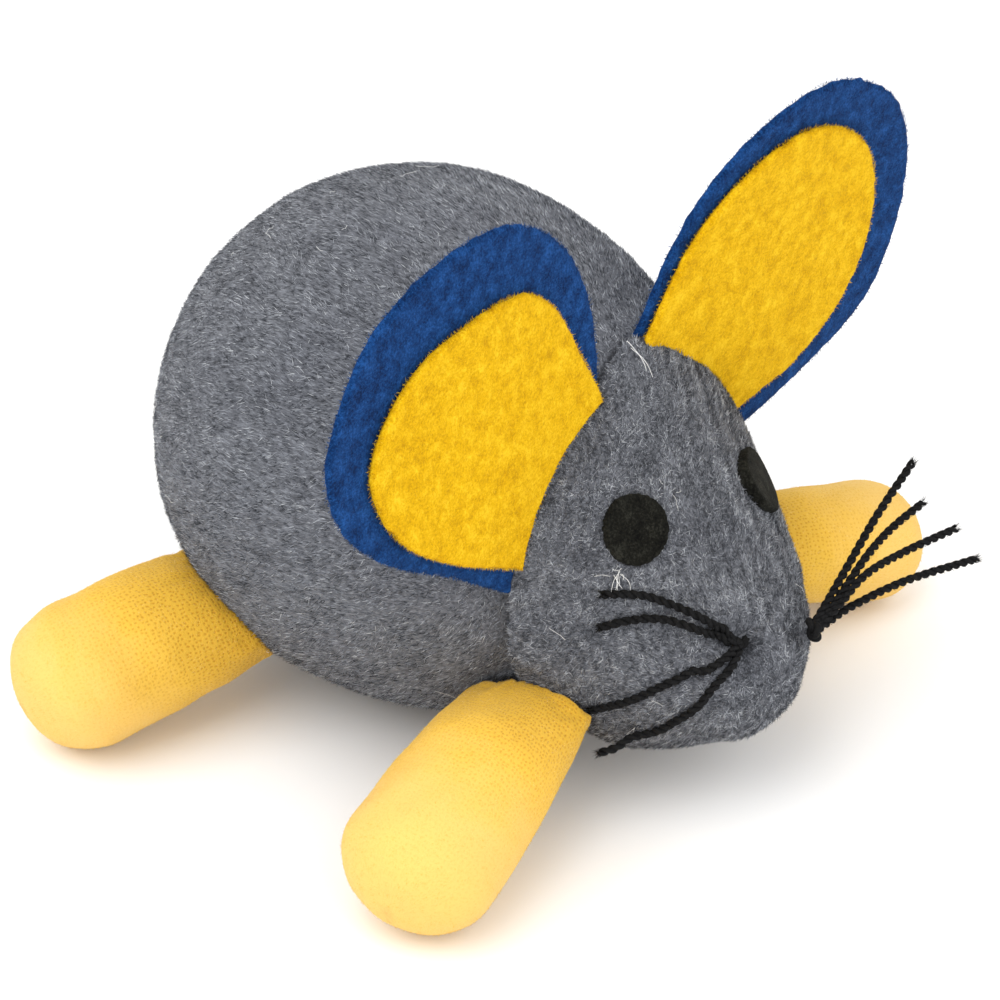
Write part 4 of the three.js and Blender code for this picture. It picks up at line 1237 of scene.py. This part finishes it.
STITCHES = [((35.6, 0.4, 65.2), (39.3, 1.1, 61.0)), ((36.6, 0.5, 64.0), (40.4, 1.9, 60.0))]  # on the crown
TUFT = (44.9, -14.3, 38.7)  # a tuft of filling fibre that was drawn out under the right eye
CLEAR = 6  # stray fibres start this far from the neck seam and the whisker roots


def make_loose_ends(body, head):
    """White closing stitches at the neck, a drawn-out tuft of filling and stray white fibres."""
    lines = []
    for start, end in STITCHES:
        run = [np.array(start) + (np.array(end) - np.array(start)) * t for t in np.linspace(0, 1, 12)]
        heights = 0.35 + 0.35 * np.sin(np.linspace(0, math.pi, 12))
        lines.append((np.array([on_surface(p, head, h) for p, h in zip(run, heights)]), 0.045))
    rng = np.random.default_rng(88)
    for _ in range(9):
        start = on_surface(np.array(TUFT) + rng.normal(scale=0.5, size=3), head, 0.1)
        aim = unit(np.array((-0.35, -0.2, -0.9)) + rng.normal(scale=0.45, size=3))
        t = np.linspace(0, rng.uniform(1.5, 3.2), 8)[:, None]
        curl = np.cross(aim, rng.normal(size=3)) * 0.5
        strand = [on_surface(p, head, 0.55) for p in start + aim * t + curl * np.sin(t)]
        lines.append((np.array(strand), 0.035))
    for surface, count, middle, size in ((body, 60, (-4, -8, 40), 40), (head, 24, (50, -6, 36), 18)):
        for _ in range(count):
            start = on_surface(np.array(middle) + unit(rng.normal(size=3)) * size, surface, 0)
            from_roots = min(math.dist(start, NEAR_ROOT), math.dist(start, FAR_ROOT))
            if min(abs(start[0] - HEAD_X), from_roots) < CLEAR:
                continue
            aim = unit(rng.normal(size=3))
            t = np.linspace(0, rng.uniform(1.0, 2.6), 6)[:, None]
            bend = unit(rng.normal(size=3)) * rng.uniform(0.1, 0.5)
            route = start + aim * t + bend * t**2
            strand = [on_surface(p, surface, rng.uniform(0.45, 0.75)) for p in route]
            lines.append((np.array(strand), 0.024))
    piece = joined_tubes("stray_white_threads", lines, 5)
    dress(piece, WHITE_FIBRE, "polyester_fill", "mouse_body")


def make_stuffing(node, seed):
    """A lump of fibre filling in a CAD filling's place: its surface is tangled and uneven."""
    source = frame["nodes"][node]
    piece = bpy.data.objects.new(node.replace("stuffing", "fill"), source.data.copy())
    bpy.context.collection.objects.link(piece)
    even_mesh(piece, FILL_MESH)
    points, normals = read_points(piece), read_normals(piece)
    sink = np.maximum(0.35 + 0.25 * lumps(points, 4.5, seed) + 0.12 * lumps(points, 1.8, seed + 1), 0.05)
    for root in (NEAR_ROOT, FAR_ROOT):
        sink = sink + 3 * np.exp(-((np.linalg.norm(points - root, axis=1) / 4) ** 2))
    points = points - normals * sink[:, None]
    narrow = 1 - 0.09 * np.exp(-(((points[:, 0] - HEAD_X) / 3.5) ** 2))[:, None]
    middle = np.array((0, HEAD_MIDDLE))
    points[:, 1:] = middle + (points[:, 1:] - middle) * narrow
    write_points(piece, points)
    dress(piece, FILL, "polyester_fill", "mouse_body")
    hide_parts(node)


def make_leg_filling(leg, place):
    """A leg's filling, clear of its cloth and of the seam at its root."""
    piece = leg_form(leg, place + "_leg_fill", 2.1, 2.0)
    even_mesh(piece, 1.0)
    points, normals = read_points(piece), read_normals(piece)
    sink = 0.25 + 0.2 * lumps(points, 4.5, 60 + len(place)) + 0.1 * lumps(points, 1.8, 61 + len(place))
    write_points(piece, points - normals * np.maximum(sink, 0)[:, None])
    dress(piece, FILL, "polyester_fill", None)
    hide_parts(place + "_leg_stuffing")
    return piece


LEG_CLOTH, COVER = 0.9, 1.0  # thickness of the knit and of the plush
BLEND_LENGTH = 11.0  # millimetres along the leg past the middle of its seam


def bend_at_root(piece, leg):
    """Works out where a leg piece's root starts and ends, and bakes the piece's placement into its mesh."""
    start = leg.place(float(leg.seam.min()))
    end = leg.place(float(leg.seam.mean()) + BLEND_LENGTH)
    world(start).tolist()
    world(end).tolist()
    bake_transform(piece)


def make_toy():
    body = make_body()
    head = make_head()
    head_surface = surface_of(head)

    def off_body_patches(middles, _):
        return ((middles[:, 0] < NECK_X - 0.6) & (middles[:, 2] > 0.6)) * 1.0

    for part in (1, 2, 3):
        fibres = pile(f"body_pile_{part}", body, PILE_COUNT, (-1, 0, -0.25), 1.1, 0.15, 0.4,
                      GREY_FIBRES, GREY_SHARES, 100, off_body_patches, part=part)
        attach(fibres, "plush", "mouse_body")

    def off_head_base(middles, _):
        return (middles[:, 0] > HEAD_X + 0.25) * 1.0

    for part in (1, 2):
        # the hollows at the whisker roots get painted shade: darker fibres round them
        fibres = pile(f"head_pile_{part}", head, PILE_COUNT, (-1, 0.15, -0.1), 0.95, 0.14, 0.45,
                      GREY_FIBRES, HEAD_SHARES, 400, off_head_base, [(NEAR_ROOT, 3.2), (FAR_ROOT, 2)],
                      disorder=0.5 + 0.15 * part, clumps=1.3, part=part)
        attach(fibres, "plush", "mouse_body")

    for side in EYES_OUT:
        make_eye(side, head_surface)
    for side, routes in WHISKERS.items():
        for number, route in enumerate(routes, 1):
            make_whisker(side, number, route, head_surface)
    make_knot("left", (0.5, 0.8, 0.1))
    make_loose_ends(surface_of(body), head_surface)

    open_shell(body, lambda p: ((p[:, 0] > NECK_X - 0.4) & neck_opening(p))
               | ((np.hypot(p[:, 0], p[:, 1]) < BELLY_R + 0.35) & (p[:, 2] < 2)), COVER)
    dress(body, PLUSH, "plush", "mouse_body")
    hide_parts("body_cover")
    open_shell(head, lambda p: (p[:, 0] < HEAD_X + 0.12) & neck_opening(p), COVER)
    dress(head, PLUSH, "plush", "mouse_body")
    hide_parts("head_cover")

    for place in LEGS:
        leg, piece, nap = make_leg(place)
        dress(piece, KNIT, "yellow_knit", None)
        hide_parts(place + "_leg_cover")
        for part in (piece, nap, make_leg_filling(leg, place)):
            bend_at_root(part, leg)

    for side in EARS:
        make_ear(side)
    make_belly_panel()
    make_stuffing("body_stuffing", 71)
    make_stuffing("head_stuffing", 72)


make_toy()

# ---------- the pieces that keep their CAD shape ----------
FINISHES = {
    "cord_eyelet": NICKEL, "movement_case_base": WHITE_PLASTIC, "movement_case_lid": WHITE_PLASTIC,
    "cord_bush": GREY_PLASTIC, "spring_arbor": STEEL, "mainspring": STEEL, "spring_drum": GREY_PLASTIC,
    "drum_cap": STEEL, "idler_gear": WHITE_PLASTIC, "idler_axle": STEEL, "weight_rotor": WHITE_PLASTIC,
    "eccentric_weight": BRASS, "rotor_axle": STEEL,
}
FINISHES.update({f"case_screw_{number}": STEEL for number in range(1, 5)})
for node, finish in FINISHES.items():
    for material_slot in frame["nodes"][node].material_slots:
        material_slot.material = finish


# ---------- floor and light ----------
def add_stage():
    """A wide pale floor, in metres."""
    size = 6
    mesh = bpy.data.meshes.new("floor")
    corners = [(-size, -size, 0), (size, -size, 0), (size, size, 0), (-size, size, 0)]
    mesh.from_pydata(corners, [], [(0, 1, 2, 3)])
    floor = bpy.data.objects.new("floor", mesh)
    bpy.context.collection.objects.link(floor)
    paper = Nodes("floor_paper", 0.9)
    paper.colour(paper.ramp(paper.noise(40, 2), [(0.3, (0.955, 0.955, 0.955)), (0.7, (0.97, 0.97, 0.97))]))
    mesh.materials.append(paper.material)


def add_light(name, azimuth, elevation, distance, size, power):
    """A square soft light that looks at the toy, placed as a view from there would be."""
    back = towards(azimuth, elevation)
    data = bpy.data.lights.new(name, "AREA")
    data.energy, data.size = power, size
    lamp = bpy.data.objects.new(name, data)
    lamp.location = MIDDLE + back * distance
    lamp.rotation_euler = back.to_track_quat("Z", "Y").to_euler()
    bpy.context.collection.objects.link(lamp)


def light_up():
    sky = bpy.data.worlds.new("studio")
    sky.use_nodes = True
    sky.node_tree.nodes["Background"].inputs["Color"].default_value = (1, 1, 1, 1)
    sky.node_tree.nodes["Background"].inputs["Strength"].default_value = 0.92
    bpy.context.scene.world = sky
    add_light("key", -20, 60, 0.9, 0.9, 5.5)
    add_light("fill", 95, 40, 1.0, 0.9, 2.5)
    add_light("low", 30, 9, 0.9, 0.6, 1.3)
    bpy.context.scene.view_settings.view_transform = "Standard"


add_stage()
light_up()
